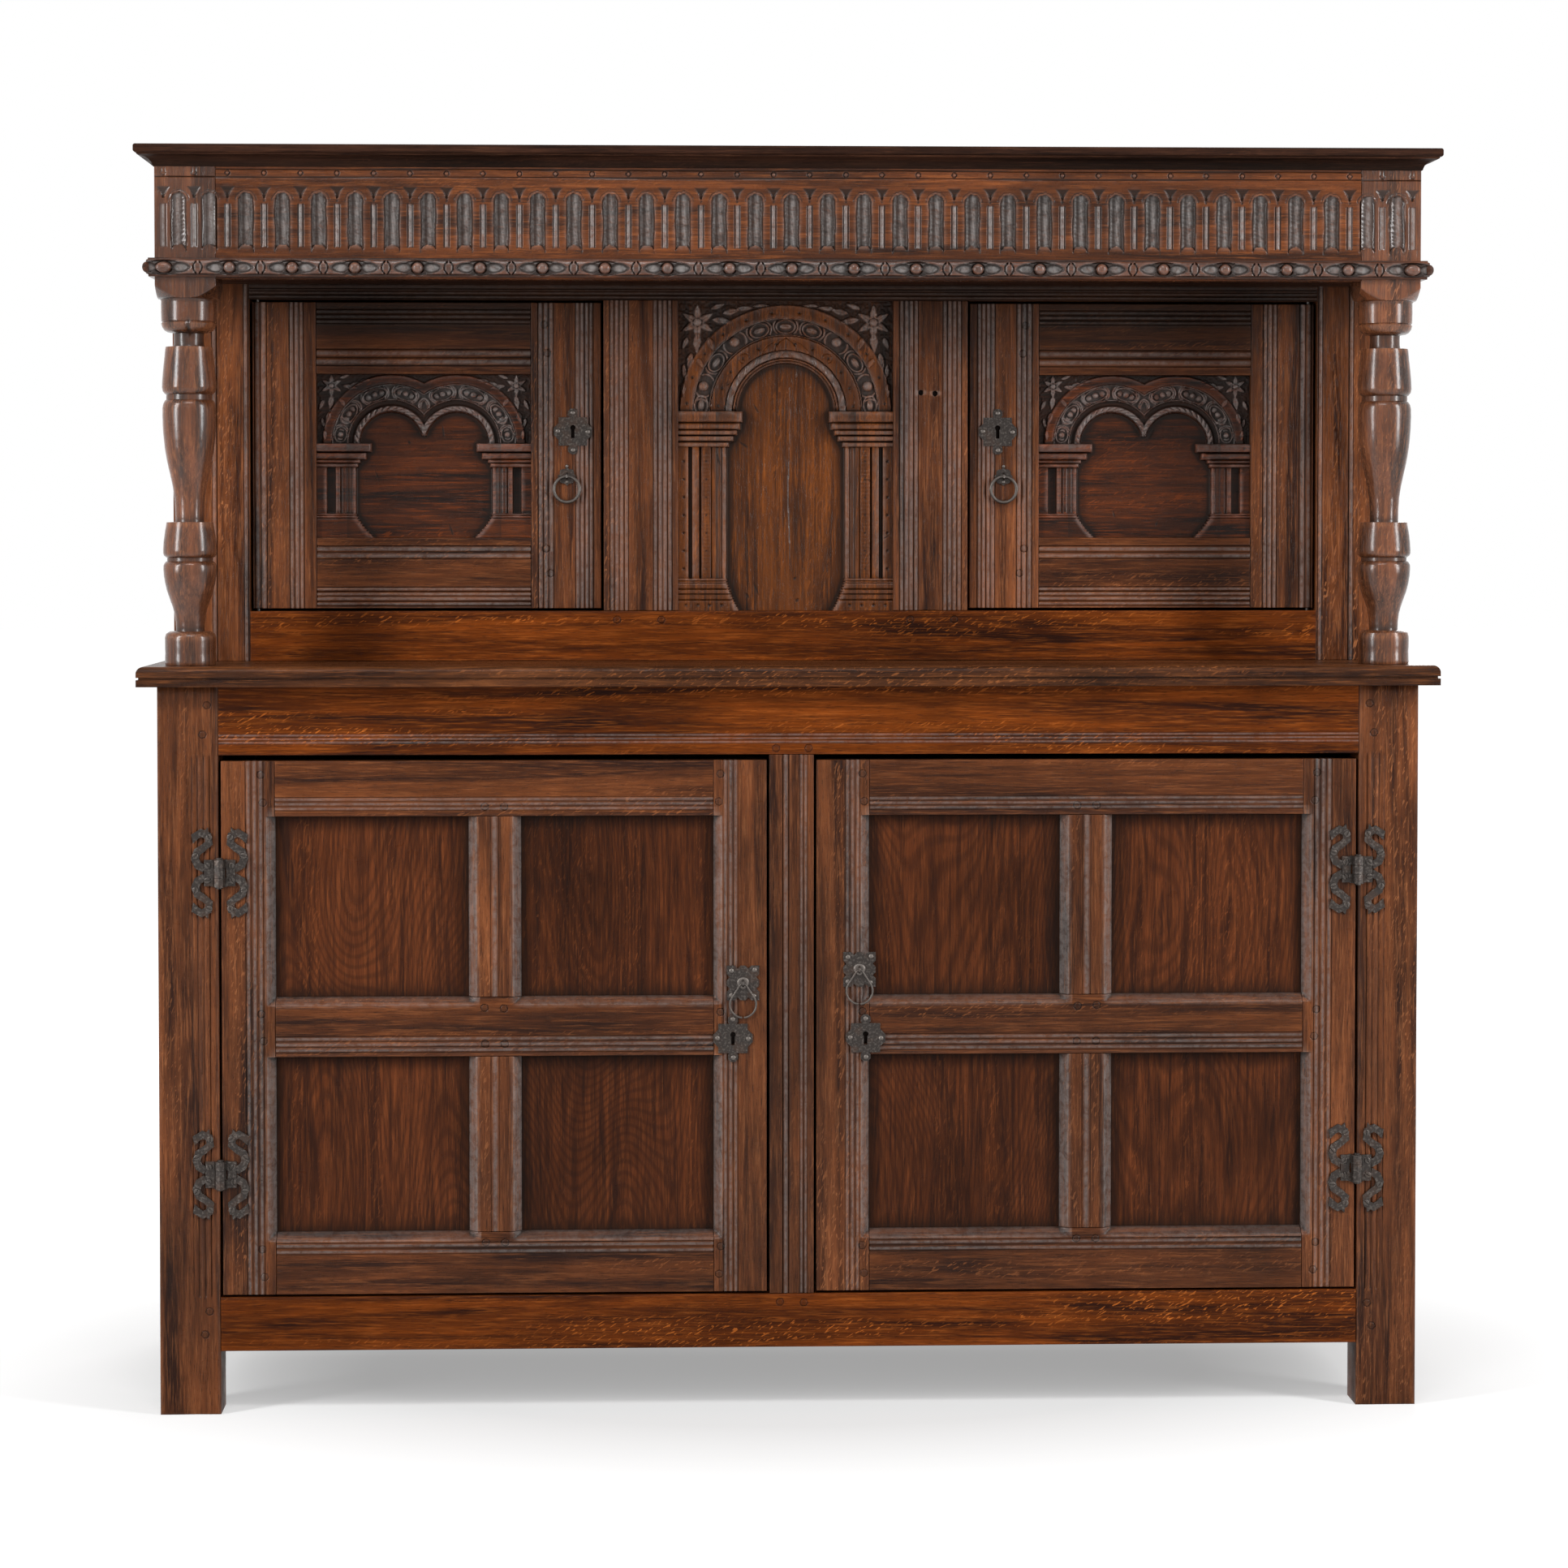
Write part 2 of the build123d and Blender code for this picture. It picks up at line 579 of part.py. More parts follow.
upper_side = [
    framed(
        board(LEFT_SIDE, UPPER_SIDE_BACK, UPPER_SIDE_FRONT, z0, z1, 0, SIDE_THICK),
        plus=rail_tenons(LEFT_SIDE, UPPER_SIDE_BACK, UPPER_SIDE_FRONT, z0, z1),
        minus=[upper_side_groove],
    )
    for z0, z1 in upper_side_rails
]
save_group(upper_side + [mirrored(piece) for piece in upper_side], "upper_side_rails")
upper_side_panel = framed(panel_board(LEFT_SIDE, *upper_side_bay))
save_group([upper_side_panel, mirrored(upper_side_panel)], "upper_side_panels")

upper_back_lap = board(CASE_FACE, -back_reach, back_reach, SHELF_TOP, CORNICE_TOP, *back_depths)
upper_back_post = framed(
    board(CASE_FACE, -HALF, -POST_IN, SHELF_TOP, CORNICE_TOP, CASE_DEPTH - POST_DEEP, CASE_DEPTH),
    minus=upper_side_mortises
    + [upper_side_groove, upper_back_lap]
    + rail_tenons(BACK_RAIL_FACE, -POST_IN, POST_IN, *upper_back_rail, MORTISE_SPARE),
)
save_group([upper_back_post, mirrored(upper_back_post)], "upper_back_posts")
save_group([back_rail(*upper_back_rail)] + back_board_row(SHELF_TOP, CORNICE_TOP), "upper_back")


# Columns: turned, and left square at the head where the frieze is tenoned in -----------
COLUMN_BASE = 44.0
BASE_RADIUS = 33.0
BASE_ROUND = 7.0
FOOT_RADIUS = 18.5
VASE_RADIUS = 34.5
SHOULDER_RADIUS = 31.5
SHOULDER_ROUND = 6.0
GROOVE_RADIUS = 29.5
RING_TOP_RADIUS = 30.5
NECK_RADIUS = 19.5
CAPITAL_RADIUS = 35.5
LOW_VASE = (48.0, 134.0)
RING = (140.0, 185.0)
HIGH_VASE = (188.0, 342.0)
BULB = (350.0, 411.0)
NECK = (415.0, 428.0)
CAPITAL = (429.0, 472.0)
POMMEL = 21.0

column_plane = Plane(origin=(-COLUMN_X, COLUMN_Y, SHELF_TOP), x_dir=(1, 0, 0), z_dir=(0, -1, 0))
column_axis = Axis((-COLUMN_X, COLUMN_Y, 0), (0, 0, 1))
head_top = CORNICE_TOP - SHELF_TOP


def vase(low, high):
    """Half the outline of a turned vase: narrow and hollow at the foot, full at the shoulder."""
    tall = high - low
    swell = VASE_RADIUS - FOOT_RADIUS
    Spline(
        (FOOT_RADIUS, low),
        (FOOT_RADIUS + swell * 0.1, low + tall * 0.22),
        (FOOT_RADIUS + swell * 0.5, low + tall * 0.42),
        (FOOT_RADIUS + swell * 0.86, low + tall * 0.62),
        (VASE_RADIUS, high - SHOULDER_ROUND),
    )
    Line((VASE_RADIUS, high - SHOULDER_ROUND), (SHOULDER_RADIUS, high))


frieze_reach = POST_IN + TENON_LONG
tenon_box = (FRIEZE_Z + TENON_SHOULDER, CORNICE_TOP - TENON_SHOULDER, TENON_SET, TENON_SET + TENON_THICK)
frieze_tenon = board(CASE_FACE, -frieze_reach, frieze_reach, *tenon_box)
frieze_side_tenon = board(LEFT_SIDE, -FRONT - BLOCK, -FRONT - BLOCK + TENON_LONG, *tenon_box)

# Flutes with round heads; the foot of each is left as a small upstanding half round
FLUTE_Z = FRIEZE_Z + 2 + BEAD_HIGH + FLUTE_RISE
FLUTE_FLAT = 9.0
flute_half = FLUTE_WIDE / 2
flute_spring = FLUTE_Z + FLUTE_HIGH - flute_half


def half_round(radius, rise, turns=4):
    """Points round the upper half of a circle, from its left to its right."""
    angles = [180 - 180 * i / turns for i in range(turns + 1)]
    return [(radius * cos(radians(a)), rise + radius * sin(radians(a))) for a in angles]


def flute_outline(half):
    """A flute's outline at half its width: round at the head, and cut round at the foot."""
    Polyline(*half_round(half, flute_spring), *half_round(half - 1, FLUTE_Z)[::-1], close=True)


with BuildPart() as flute:
    with BuildSketch(CASE_FACE):
        with BuildLine():
            flute_outline(flute_half)
        make_face()
    with BuildSketch(CASE_FACE.offset(-FLUTE_DEEP)):
        with BuildLine():
            flute_outline(FLUTE_FLAT / 2)
        make_face()
    loft(ruled=True)

board_flutes = [i * FLUTE_PITCH for i in range(-(FLUTE_COUNT // 2) + 1, FLUTE_COUNT // 2)]
end_flutes = [-COLUMN_X, -FLUTE_PITCH * (FLUTE_COUNT // 2 - 1)]

with BuildPart() as column:
    with BuildSketch(column_plane):
        with BuildLine():
            Polyline(
                (0, -COLUMN_PIN_LONG),
                (COLUMN_PIN, -COLUMN_PIN_LONG),
                (COLUMN_PIN, 0),
                (BASE_RADIUS, 0),
                (BASE_RADIUS, COLUMN_BASE - BASE_ROUND),
                (BASE_RADIUS - BASE_ROUND * 0.7, COLUMN_BASE),
                (FOOT_RADIUS, COLUMN_BASE),
                (FOOT_RADIUS, LOW_VASE[0]),
            )
            vase(*LOW_VASE)
            Polyline(
                (SHOULDER_RADIUS, LOW_VASE[1]),
                (GROOVE_RADIUS, RING[0]),
                (VASE_RADIUS, RING[0] + 4),
                (VASE_RADIUS, RING[0] + 8),
                (RING_TOP_RADIUS, RING[1]),
                (FOOT_RADIUS, RING[1]),
                (FOOT_RADIUS, HIGH_VASE[0]),
            )
            vase(*HIGH_VASE)
            Polyline(
                (SHOULDER_RADIUS, HIGH_VASE[1]),
                (GROOVE_RADIUS, BULB[0]),
                (VASE_RADIUS, BULB[0] + 5),
                (VASE_RADIUS, BULB[0] + 18),
                (RING_TOP_RADIUS, BULB[1]),
                (NECK_RADIUS, NECK[0]),
                (NECK_RADIUS, NECK[1]),
                (CAPITAL_RADIUS - 6, CAPITAL[0]),
                (CAPITAL_RADIUS, CAPITAL[0] + 12),
                (CAPITAL_RADIUS, CAPITAL[1]),
                (0, CAPITAL[1]),
                (0, -COLUMN_PIN_LONG),
            )
        make_face()
    revolve(axis=column_axis)
    with BuildSketch(Plane.XY.offset(SHELF_TOP + CAPITAL[1])):
        with Locations((-COLUMN_X, COLUMN_Y)):
            Rectangle(BLOCK, BLOCK)
    extrude(amount=head_top - CAPITAL[1])
    with BuildSketch(column_plane):
        with BuildLine():
            Polyline(
                (BLOCK / 2, CAPITAL[1]),
                (BLOCK / 2 + POMMEL, CAPITAL[1]),
                (BLOCK / 2 + POMMEL, CAPITAL[1] + POMMEL),
                close=True,
            )
        make_face()
    revolve(axis=column_axis, mode=Mode.SUBTRACT)
    add(frieze_tenon, mode=Mode.SUBTRACT)
    add(frieze_side_tenon, mode=Mode.SUBTRACT)
    with Locations(*[(x, 0, 0) for x in end_flutes]):
        add(flute.part, mode=Mode.SUBTRACT)
save_group([column, mirrored(column)], "columns")

# Frieze, let into the column heads
with BuildPart() as frieze:
    add(board(CASE_FACE, -POST_IN, POST_IN, FRIEZE_Z, CORNICE_TOP, 0, FRIEZE_THICK))
    add(frieze_tenon)
    with Locations(*[(x, 0, 0) for x in board_flutes]):
        add(flute.part, mode=Mode.SUBTRACT)
save(frieze, "frieze")

frieze_side = framed(
    board(LEFT_SIDE, -UPPER_FRONT, -FRONT - BLOCK, FRIEZE_Z, CORNICE_TOP, 0, SIDE_FRIEZE_THICK),
    plus=[frieze_side_tenon],
)
save_group([frieze_side, mirrored(frieze_side)], "frieze_sides")

soffit_depths = (FRIEZE_THICK, RECESS)
column_corners = [
    board(CASE_FACE, x0, x0 + BLOCK, FRIEZE_Z, CORNICE_TOP, 0, BLOCK) for x0 in (-HALF, HALF - BLOCK)
]
soffit_z = FRIEZE_Z + SOFFIT_RISE
soffit = framed(
    board(CASE_FACE, -SIDE_IN, SIDE_IN, soffit_z, soffit_z + SOFFIT_THICK, *soffit_depths),
    minus=column_corners,
)
save(soffit, "soffit")

# Mouldings mitred round the front and both sides
BEAD_Z = FRIEZE_Z + 2
BEAD_FILLET = 4.0
COVE_HIGH = 21.0
COVE_WIDE = 20.0
COVE_STEP = 3.0
COVE_Z = CORNICE_TOP - COVE_HIGH


def moulding_start(z):
    """The section plane at the back of the left side: x runs outwards and y runs up."""
    return Plane(origin=(-HALF, BACK, z), x_dir=(-1, 0, 0), z_dir=(0, 1, 0))


def moulding_path(z):
    """Round the left side, the front and the right side."""
    with BuildLine() as path:
        Polyline((-HALF, BACK, z), (-HALF, FRONT, z), (HALF, FRONT, z), (HALF, BACK, z))
    return path.line


with BuildPart() as boss:
    with BuildSketch(face(FRONT - BEAD_PROUD + 1)):
        with Locations((0, BEAD_Z + BEAD_HIGH / 2)):
            RegularPolygon(BOSS_RADIUS, BOSS_SIDES)
    with BuildSketch(face(FRONT - BEAD_PROUD - BOSS_PROUD)):
        with Locations((0, BEAD_Z + BEAD_HIGH / 2)):
            RegularPolygon(BOSS_RADIUS * 0.55, BOSS_SIDES)
    loft(ruled=True)

bead_path = moulding_path(BEAD_Z)
cove_path = moulding_path(COVE_Z)
boss_places = [(i * BOSS_PITCH, 0, 0) for i in range(-(BOSS_COUNT // 2), BOSS_COUNT // 2 + 1)]
with BuildPart() as bead_moulding:
    with BuildSketch(moulding_start(BEAD_Z)):
        with BuildLine():
            Polyline(
                (0, 0),
                (BEAD_PROUD - BEAD_FILLET, 0),
                (BEAD_PROUD - BEAD_FILLET, BEAD_FILLET),
                (BEAD_PROUD, BEAD_HIGH * 0.4),
                (BEAD_PROUD, BEAD_HIGH * 0.6),
                (BEAD_PROUD - BEAD_FILLET, BEAD_HIGH - BEAD_FILLET),
                (BEAD_PROUD - 1.5 * BEAD_FILLET, BEAD_HIGH),
                (0, BEAD_HIGH),
                close=True,
            )
        make_face()
    sweep(path=bead_path, transition=Transition.RIGHT)
    with Locations(*boss_places):
        add(boss.part)
save(bead_moulding, "bead_moulding")

with BuildPart() as cornice_moulding:
    with BuildSketch(moulding_start(COVE_Z)):
        with BuildLine():
            Polyline((0, 0), (COVE_STEP, 0), (COVE_STEP, COVE_STEP))
            cove_end = (COVE_WIDE, COVE_HIGH - COVE_STEP)
            ThreePointArc((COVE_STEP, COVE_STEP), (COVE_WIDE * 0.42, COVE_HIGH * 0.66), cove_end)
            Polyline((COVE_WIDE, COVE_HIGH - COVE_STEP), (COVE_WIDE, COVE_HIGH), (0, COVE_HIGH), (0, 0))
        make_face()
    sweep(path=cove_path, transition=Transition.RIGHT)
save(cornice_moulding, "cornice_moulding")

TOP_ROUND = 3.0
with BuildPart() as top_board:
    with BuildSketch(Plane.XY.offset(CORNICE_TOP)):
        with Locations((0, (FRONT_EDGE + BACK) / 2)):
            Rectangle(2 * HALF_TOP, BACK - FRONT_EDGE)
    extrude(amount=TOP_THICK)
    top_edges = top_board.faces().sort_by(Axis.Z)[-1].edges().sort_by(Axis.Y)[:-1]
    under_edges = top_board.faces().sort_by(Axis.Z)[0].edges().sort_by(Axis.Y)[:-1]
    fillet(top_edges + under_edges, TOP_ROUND)
save(top_board, "top_board")


# Carved arcades -----------------------------------------------------------------------
SPANDREL_DEEP = 3.0
GROUND_DEEP = 9.0
IMPOST_PROUD = 6.0
JEWEL_DEEP = 3.0  # the jewelled band is sunk this far between the plain ones
ROPE_DEEP = 2.0

# The middle arch: radii, and heights from the panel's foot
ARCH_SPRING = UPPER_OPENING - 148.0
ARCH_BAND = 122.0
JEWEL_WIDE = 22.0
ARCH_ROPE = 80.0
ROPE_WIDE = 14.0
ARCH_OPENING = 64.0
ARCH_IMPOST = 48.0
ARCH_NOSE = 86.0
ARCH_TOE = 81.0
ARCH_PLINTH = 43.0
# upright cuts in a pier, as (start, end) shares of its width and the depth
ARCH_GROOVES = ((0.24, 0.3, 6.0), (0.47, 0.52, 4.0), (0.7, 0.75, 3.0), (0.83, 0.86, 3.0), (0.92, 0.96, 3.0))

# The pair of arches on each upper door
PAIR_SET = 8.0  # door's face to the arcade's
PAIR_THICK = 16.0
PAIR_TONGUE = (16.0, 22.0)
PAIR_HALF = 43.7  # middle of the pair to the middle of an arch
PAIR_SPRING = 126.0
PAIR_BAND = 79.0
PAIR_JEWEL = 21.0
PAIR_ROPE = 8.0
PAIR_ROPE_DEEP = 5.0
PAIR_OPENING = 41.7
PAIR_PIER = 51.5
PAIR_IMPOST = 32.0
PAIR_NOSE = 73.0
PAIR_TOE = 76.0
PAIR_PLINTH = 32.0
PAIR_GROOVES = ((0.33, 0.47, 6.0), (0.62, 0.68, 3.0), (0.78, 0.82, 3.0), (0.9, 0.94, 3.0))


def arcade(plane, bay, front, thick, tongue, centres, spring, rings, opening, pier, impost, plinth, grooves):
    """A panel carved with round arches on piers.

    bay is the opening that shows, centres are the arches' middles and spring is the height they rise from.
    rings lists each band round the arch as outer radius, inner radius and depth; pier, impost and plinth are
    (width, top height), and grooves are the upright cuts in a pier as (from, to, depth).
    """
    x0, x1, z0, z1 = bay
    carved = plane.offset(-front)
    above = (x1 - x0, z1 - spring)
    middle = ((x0 + x1) / 2, (z1 + spring) / 2)
    outer = rings[0][0]
    pier_wide, pier_top = pier
    with BuildPart() as piece:
        add(board(plane, x0, x1, z0, z1, front, front + thick))
        add(board(plane, x0 - TONGUE, x1 + TONGUE, z0 - TONGUE, z1 + TONGUE, *tongue))
        with BuildSketch(carved):
            with Locations(middle):
                Rectangle(*above)
            with Locations(*[(x, spring) for x in centres]):
                Circle(outer, mode=Mode.SUBTRACT)
        extrude(amount=-SPANDREL_DEEP, mode=Mode.SUBTRACT)
        for ring_out, ring_in, deep in rings:
            with BuildSketch(carved):
                with Locations(*[(x, spring) for x in centres]):
                    Circle(ring_out)
                with Locations(*[(x, spring) for x in centres]):
                    Circle(ring_in, mode=Mode.SUBTRACT)
                with Locations(middle):
                    Rectangle(*above, mode=Mode.INTERSECT)
            extrude(amount=-deep, mode=Mode.SUBTRACT)
        with BuildSketch(carved):
            with Locations(*[(x, spring) for x in centres]):
                Circle(opening)
            with Locations(((centres[0] + centres[-1]) / 2, spring)):
                Rectangle(centres[-1] - centres[0] + opening, opening / 2)
            with Locations(middle):
                Rectangle(*above, mode=Mode.INTERSECT)
            with Locations(((x0 + x1) / 2, (z0 + spring) / 2)):
                Rectangle(x1 - x0 - 2 * pier_wide, spring - z0)
        extrude(amount=-GROUND_DEEP, mode=Mode.SUBTRACT)
        nose, impost_top = impost
        toe, plinth_top = plinth
        rise = impost_top - pier_top
        foot = z0 + pier_top
        step = (nose - pier_wide) / 4
        for edge, way in ((x0, 1), (x1, -1)):
            for start, end, deep in grooves:
                with BuildSketch(carved):
                    with Locations((edge + way * (start + end) / 2, z0 + (plinth_top + pier_top) / 2)):
                        Rectangle(end - start, pier_top - plinth_top)
                extrude(amount=-deep, mode=Mode.SUBTRACT)
            with BuildSketch(carved.offset(-GROUND_DEEP)):
                with BuildLine():
                    Polyline(
                        (edge, foot),
                        (edge + way * pier_wide, foot),
                        (edge + way * (pier_wide + step), foot + rise * 0.18),
                        (edge + way * (pier_wide + step), foot + rise * 0.32),
                        (edge + way * (pier_wide + 2 * step), foot + rise * 0.45),
                        (edge + way * (pier_wide + 2 * step), foot + rise * 0.58),
                        (edge + way * (nose - 3), foot + rise * 0.66),
                        (edge + way * nose, foot + rise * 0.75),
                        (edge + way * nose, foot + rise * 0.91),
                        (edge + way * (nose - 3), foot + rise),
                        (edge, foot + rise),
                        close=True,
                    )
                make_face()
            extrude(amount=GROUND_DEEP + IMPOST_PROUD)
            with BuildSketch(carved.offset(-GROUND_DEEP)):
                with BuildLine():
                    Polyline(
                        (edge, z0),
                        (edge + way * toe, z0),
                        (edge + way * (toe - 2), z0 + plinth_top * 0.3),
                        (edge + way * (toe * 0.45 + pier_wide * 0.55), z0 + plinth_top * 0.62),
                        (edge + way * pier_wide, z0 + plinth_top),
                        (edge, z0 + plinth_top),
                        close=True,
                    )
                make_face()
            extrude(amount=GROUND_DEEP + IMPOST_PROUD / 2)
    return piece


centre_arcade = arcade(
    UPPER_FACE,
    arcade_bay,
    front=ARCADE_SET,
    thick=ARCADE_THICK,
    tongue=(ARCADE_TONGUE_SET, ARCADE_TONGUE_SET + ARCADE_TONGUE),
    centres=(0.0,),
    spring=OPENING_Z + ARCH_SPRING,
    rings=((ARCH_BAND, ARCH_BAND - JEWEL_WIDE, JEWEL_DEEP), (ARCH_ROPE, ARCH_ROPE - ROPE_WIDE, ROPE_DEEP)),
    opening=ARCH_OPENING,
    pier=(ARCH_OPENING, ARCH_SPRING - ARCH_IMPOST),
    impost=(ARCH_NOSE, ARCH_SPRING),
    plinth=(ARCH_TOE, ARCH_PLINTH),
    grooves=[
        (start * ARCH_OPENING, end * ARCH_OPENING, deep) for start, end, deep in ARCH_GROOVES
    ],
)
save(centre_arcade, "centre_arcade")


# Ironwork -----------------------------------------------------------------------------
KEYHOLE_RADIUS = 3.6
KEYHOLE_SLOT = 4.6
KEYHOLE_DROP = 14.0
KEY_RISE = 5.0
PLATE_HALF = 19.0
LOBE = 12.5
END_LOBE = 7.0
LOBE_OUT = 14.0
LOBE_RISE = 5.0
LOBE_SIDES = 8  # filed to facets
HINGE_X = -POST_IN + DOOR_GAP / 2
HINGE_Y = FRONT - KNUCKLE_SET
LEAF_IN = 8.5
LEAF_OUT = 20.0
LEAF_HALF = 17.0
SCROLL_BAND = 10.5
LOW_SCROLL = (18.0, 19.0, 13.5)  # middle out from the pin, middle up, radius
HIGH_SCROLL = (23.0, 42.0, 10.0)
SCROLL_STEPS = 4
SCROLL_SWEEP = 228.0
BEAK_OUT = 11.0
BEAK_DROP = 4.0
COMB = ((13.5, 49.0), (22.0, 52.0), (15.0, 59.0))  # the point behind the cock's head


def keyhole(plane, x, z, depth, spare=0.0):
    """A keyhole cut straight back from a face plane."""
    with BuildPart() as cut:
        with BuildSketch(plane.offset(PLATE_THICK + 1)):
            with Locations((x, z + KEY_RISE)):
                Circle(KEYHOLE_RADIUS + spare)
            with Locations((x, z + KEY_RISE - KEYHOLE_DROP / 2)):
                Rectangle(KEYHOLE_SLOT + 2 * spare, KEYHOLE_DROP + 2 * spare)
        extrude(amount=-depth - PLATE_THICK - 1)
    return cut.part


def escutcheon(plane, x, z):
    """A keyhole plate with lobed sides and a round nailing lobe above and below."""
    hole = keyhole(plane, x, z, 1)
    with BuildPart() as plate:
        with BuildSketch(plane):
            with Locations((x, z)):
                Rectangle(2 * PLATE_HALF, 2 * PLATE_HALF)
            with Locations((x - LOBE_OUT, z), (x + LOBE_OUT, z)):
                RegularPolygon(LOBE, LOBE_SIDES, rotation=180 / LOBE_SIDES)
            with Locations((x, z - PLATE_HALF - LOBE_RISE), (x, z + PLATE_HALF + LOBE_RISE)):
                RegularPolygon(END_LOBE, LOBE_SIDES, rotation=180 / LOBE_SIDES)
        extrude(amount=PLATE_THICK)
        add(hole, mode=Mode.SUBTRACT)
    return plate


def staple_wire(plane, x, z, out):
    """The wire staple that a ring or drop hangs in: a loop in front, two legs driven into the door."""
    end = plane.from_local_coords(Vector(x, z + STAPLE_BEND, -STAPLE_LONG))
    section = Plane(origin=end, z_dir=plane.z_dir)
    upright = Plane(origin=plane.from_local_coords(Vector(x, z, 0)), x_dir=plane.z_dir, z_dir=plane.x_dir)
    with BuildLine(upright) as bend:
        Polyline(
            (-STAPLE_LONG, STAPLE_BEND),
            (out + STAPLE_RUN, STAPLE_BEND),
            (out + STAPLE_NOSE, STAPLE_BEND * 0.45),
            (out + STAPLE_NOSE, -STAPLE_BEND * 0.45),
            (out + STAPLE_RUN, -STAPLE_BEND),
            (-STAPLE_LONG, -STAPLE_BEND),
        )
    with BuildPart() as staple:
        with BuildSketch(section):
            RegularPolygon(STAPLE_WIRE, WIRE_SIDES)
        sweep(path=bend.line, transition=Transition.RIGHT)
    return staple


def scroll_outline(up):
    """The outline of a scrolled arm: out from the leaf, back over the gap, and out again to a beak."""
    low_x, low_z, low_r = LOW_SCROLL
    high_x, high_z, high_r = HIGH_SCROLL
    half = SCROLL_BAND / 2
    lean = degrees(atan2(high_z - low_z, high_x - low_x))
    low_turn = [-80 + (80 + lean) * i / SCROLL_STEPS for i in range(SCROLL_STEPS + 1)]
    high_turn = [180 + lean - SCROLL_SWEEP * i / SCROLL_STEPS for i in range(1, SCROLL_STEPS + 1)]

    def along(middle_x, middle_z, radius, turns):
        """Points round an arc at one radius."""
        return [
            (middle_x + radius * cos(radians(a)), up * (middle_z + radius * sin(radians(a)))) for a in turns
        ]

    outer = along(low_x, low_z, low_r + half, low_turn) + along(high_x, high_z, high_r - half, high_turn)
    inner = along(low_x, low_z, low_r - half, low_turn) + along(high_x, high_z, high_r + half, high_turn)
    beak = (high_x + BEAK_OUT, up * (high_z - BEAK_DROP))
    return outer + [beak] + inner[::-1]


def hinge_leaf(rows):
    """A leaf of a cock's-head hinge, to the right of the pin: two scrolled arms and its own knuckles."""
    middle = Plane(origin=(HINGE_X, FRONT, 0), x_dir=(1, 0, 0), z_dir=(0, -1, 0))
    with BuildPart() as leaf:
        with BuildSketch(middle):
            with Locations(((LEAF_IN + LEAF_OUT) / 2, 0)):
                Rectangle(LEAF_OUT - LEAF_IN, 2 * LEAF_HALF)
            for up in (1, -1):
                with BuildLine():
                    Polyline(*scroll_outline(up), close=True)
                make_face()
                with BuildLine():
                    Polyline(*[(x, up * z) for x, z in COMB], close=True)
                make_face()
        extrude(amount=LEAF_THICK)
        for row in rows:
            foot = -1.5 * KNUCKLE_HIGH + row * KNUCKLE_HIGH + KNUCKLE_GAP / 2
            tall = KNUCKLE_HIGH - KNUCKLE_GAP
            with BuildSketch(middle):
                with Locations(((LEAF_IN + 1) / 2, foot + tall / 2)):
                    Rectangle(LEAF_IN + 1, tall)
            extrude(amount=LEAF_THICK)
            with BuildSketch(Plane.XY.offset(foot)):
                with Locations((HINGE_X, HINGE_Y)):
                    RegularPolygon(KNUCKLE_RADIUS, KNUCKLE_SIDES)
            extrude(amount=tall)
    return leaf


def raised(piece, heights):
    """Copies of a piece at several heights, as separate solids."""
    copies = []
    for height in heights:
        with BuildPart() as copy:
            with Locations((0, 0, height)):
                add(piece.part)
        copies.append(copy)
    return copies


PIN_CAP = 4.5
PIN_CAP_HIGH = 1.6
pin_half = 1.5 * KNUCKLE_HIGH + KNUCKLE_GAP / 2
pin_ends = ((Plane.XY.offset(pin_half), PIN_CAP_HIGH), (Plane.XY.offset(-pin_half), -PIN_CAP_HIGH))

# The post leaf holds the middle knuckle, with the pin riveted in it; the door leaf turns on the pin
with BuildPart() as post_leaf:
    mirror(hinge_leaf((1,)).part, about=Plane(origin=(HINGE_X, 0, 0), z_dir=(1, 0, 0)))
    with BuildSketch(Plane.XY.offset(-pin_half)):
        with Locations((HINGE_X, HINGE_Y)):
            Circle(HINGE_PIN)
    extrude(amount=2 * pin_half)
    for pin_end, cap in pin_ends:
        with BuildSketch(pin_end):
            with Locations((HINGE_X, HINGE_Y)):
                RegularPolygon(PIN_CAP, KNUCKLE_SIDES)
        extrude(amount=cap)
with BuildPart() as door_leaf:
    add(hinge_leaf((0, 2)).part)
    with BuildSketch(Plane.XY.offset(-2 * pin_half)):
        with Locations((HINGE_X, HINGE_Y)):
            Circle(HINGE_PIN + RUNNING_FIT)
    extrude(amount=4 * pin_half, mode=Mode.SUBTRACT)

post_leaves = raised(post_leaf, HINGE_HEIGHTS)
save_group(post_leaves + [mirrored(piece) for piece in post_leaves], "lower_hinge_post_leaves")
door_leaves = raised(door_leaf, HINGE_HEIGHTS)


def lock_case(plane, right, x, z, door_thick):
    """An iron lock on the back of the lock stile, with a tunnel for its bolt."""
    end = right - LOCK_INSET
    hole = keyhole(plane, x, z, door_thick + LOCK_DEEP / 2)
    tunnel_front = door_thick + (LOCK_DEEP - BOLT_THICK) / 2 - BOLT_GAP
    tunnel_back = tunnel_front + BOLT_THICK + 2 * BOLT_GAP
    half_tall = BOLT_HIGH / 2 + BOLT_GAP
    tail = end - BOLT_LONG - 5
    tunnel = board(plane, tail, end, z - half_tall, z + half_tall, tunnel_front, tunnel_back)
    case_box = (end - LOCK_WIDE, end, z - LOCK_HIGH / 2, z + LOCK_HIGH / 2)
    return framed(board(plane, *case_box, door_thick, door_thick + LOCK_DEEP), minus=[hole, tunnel])


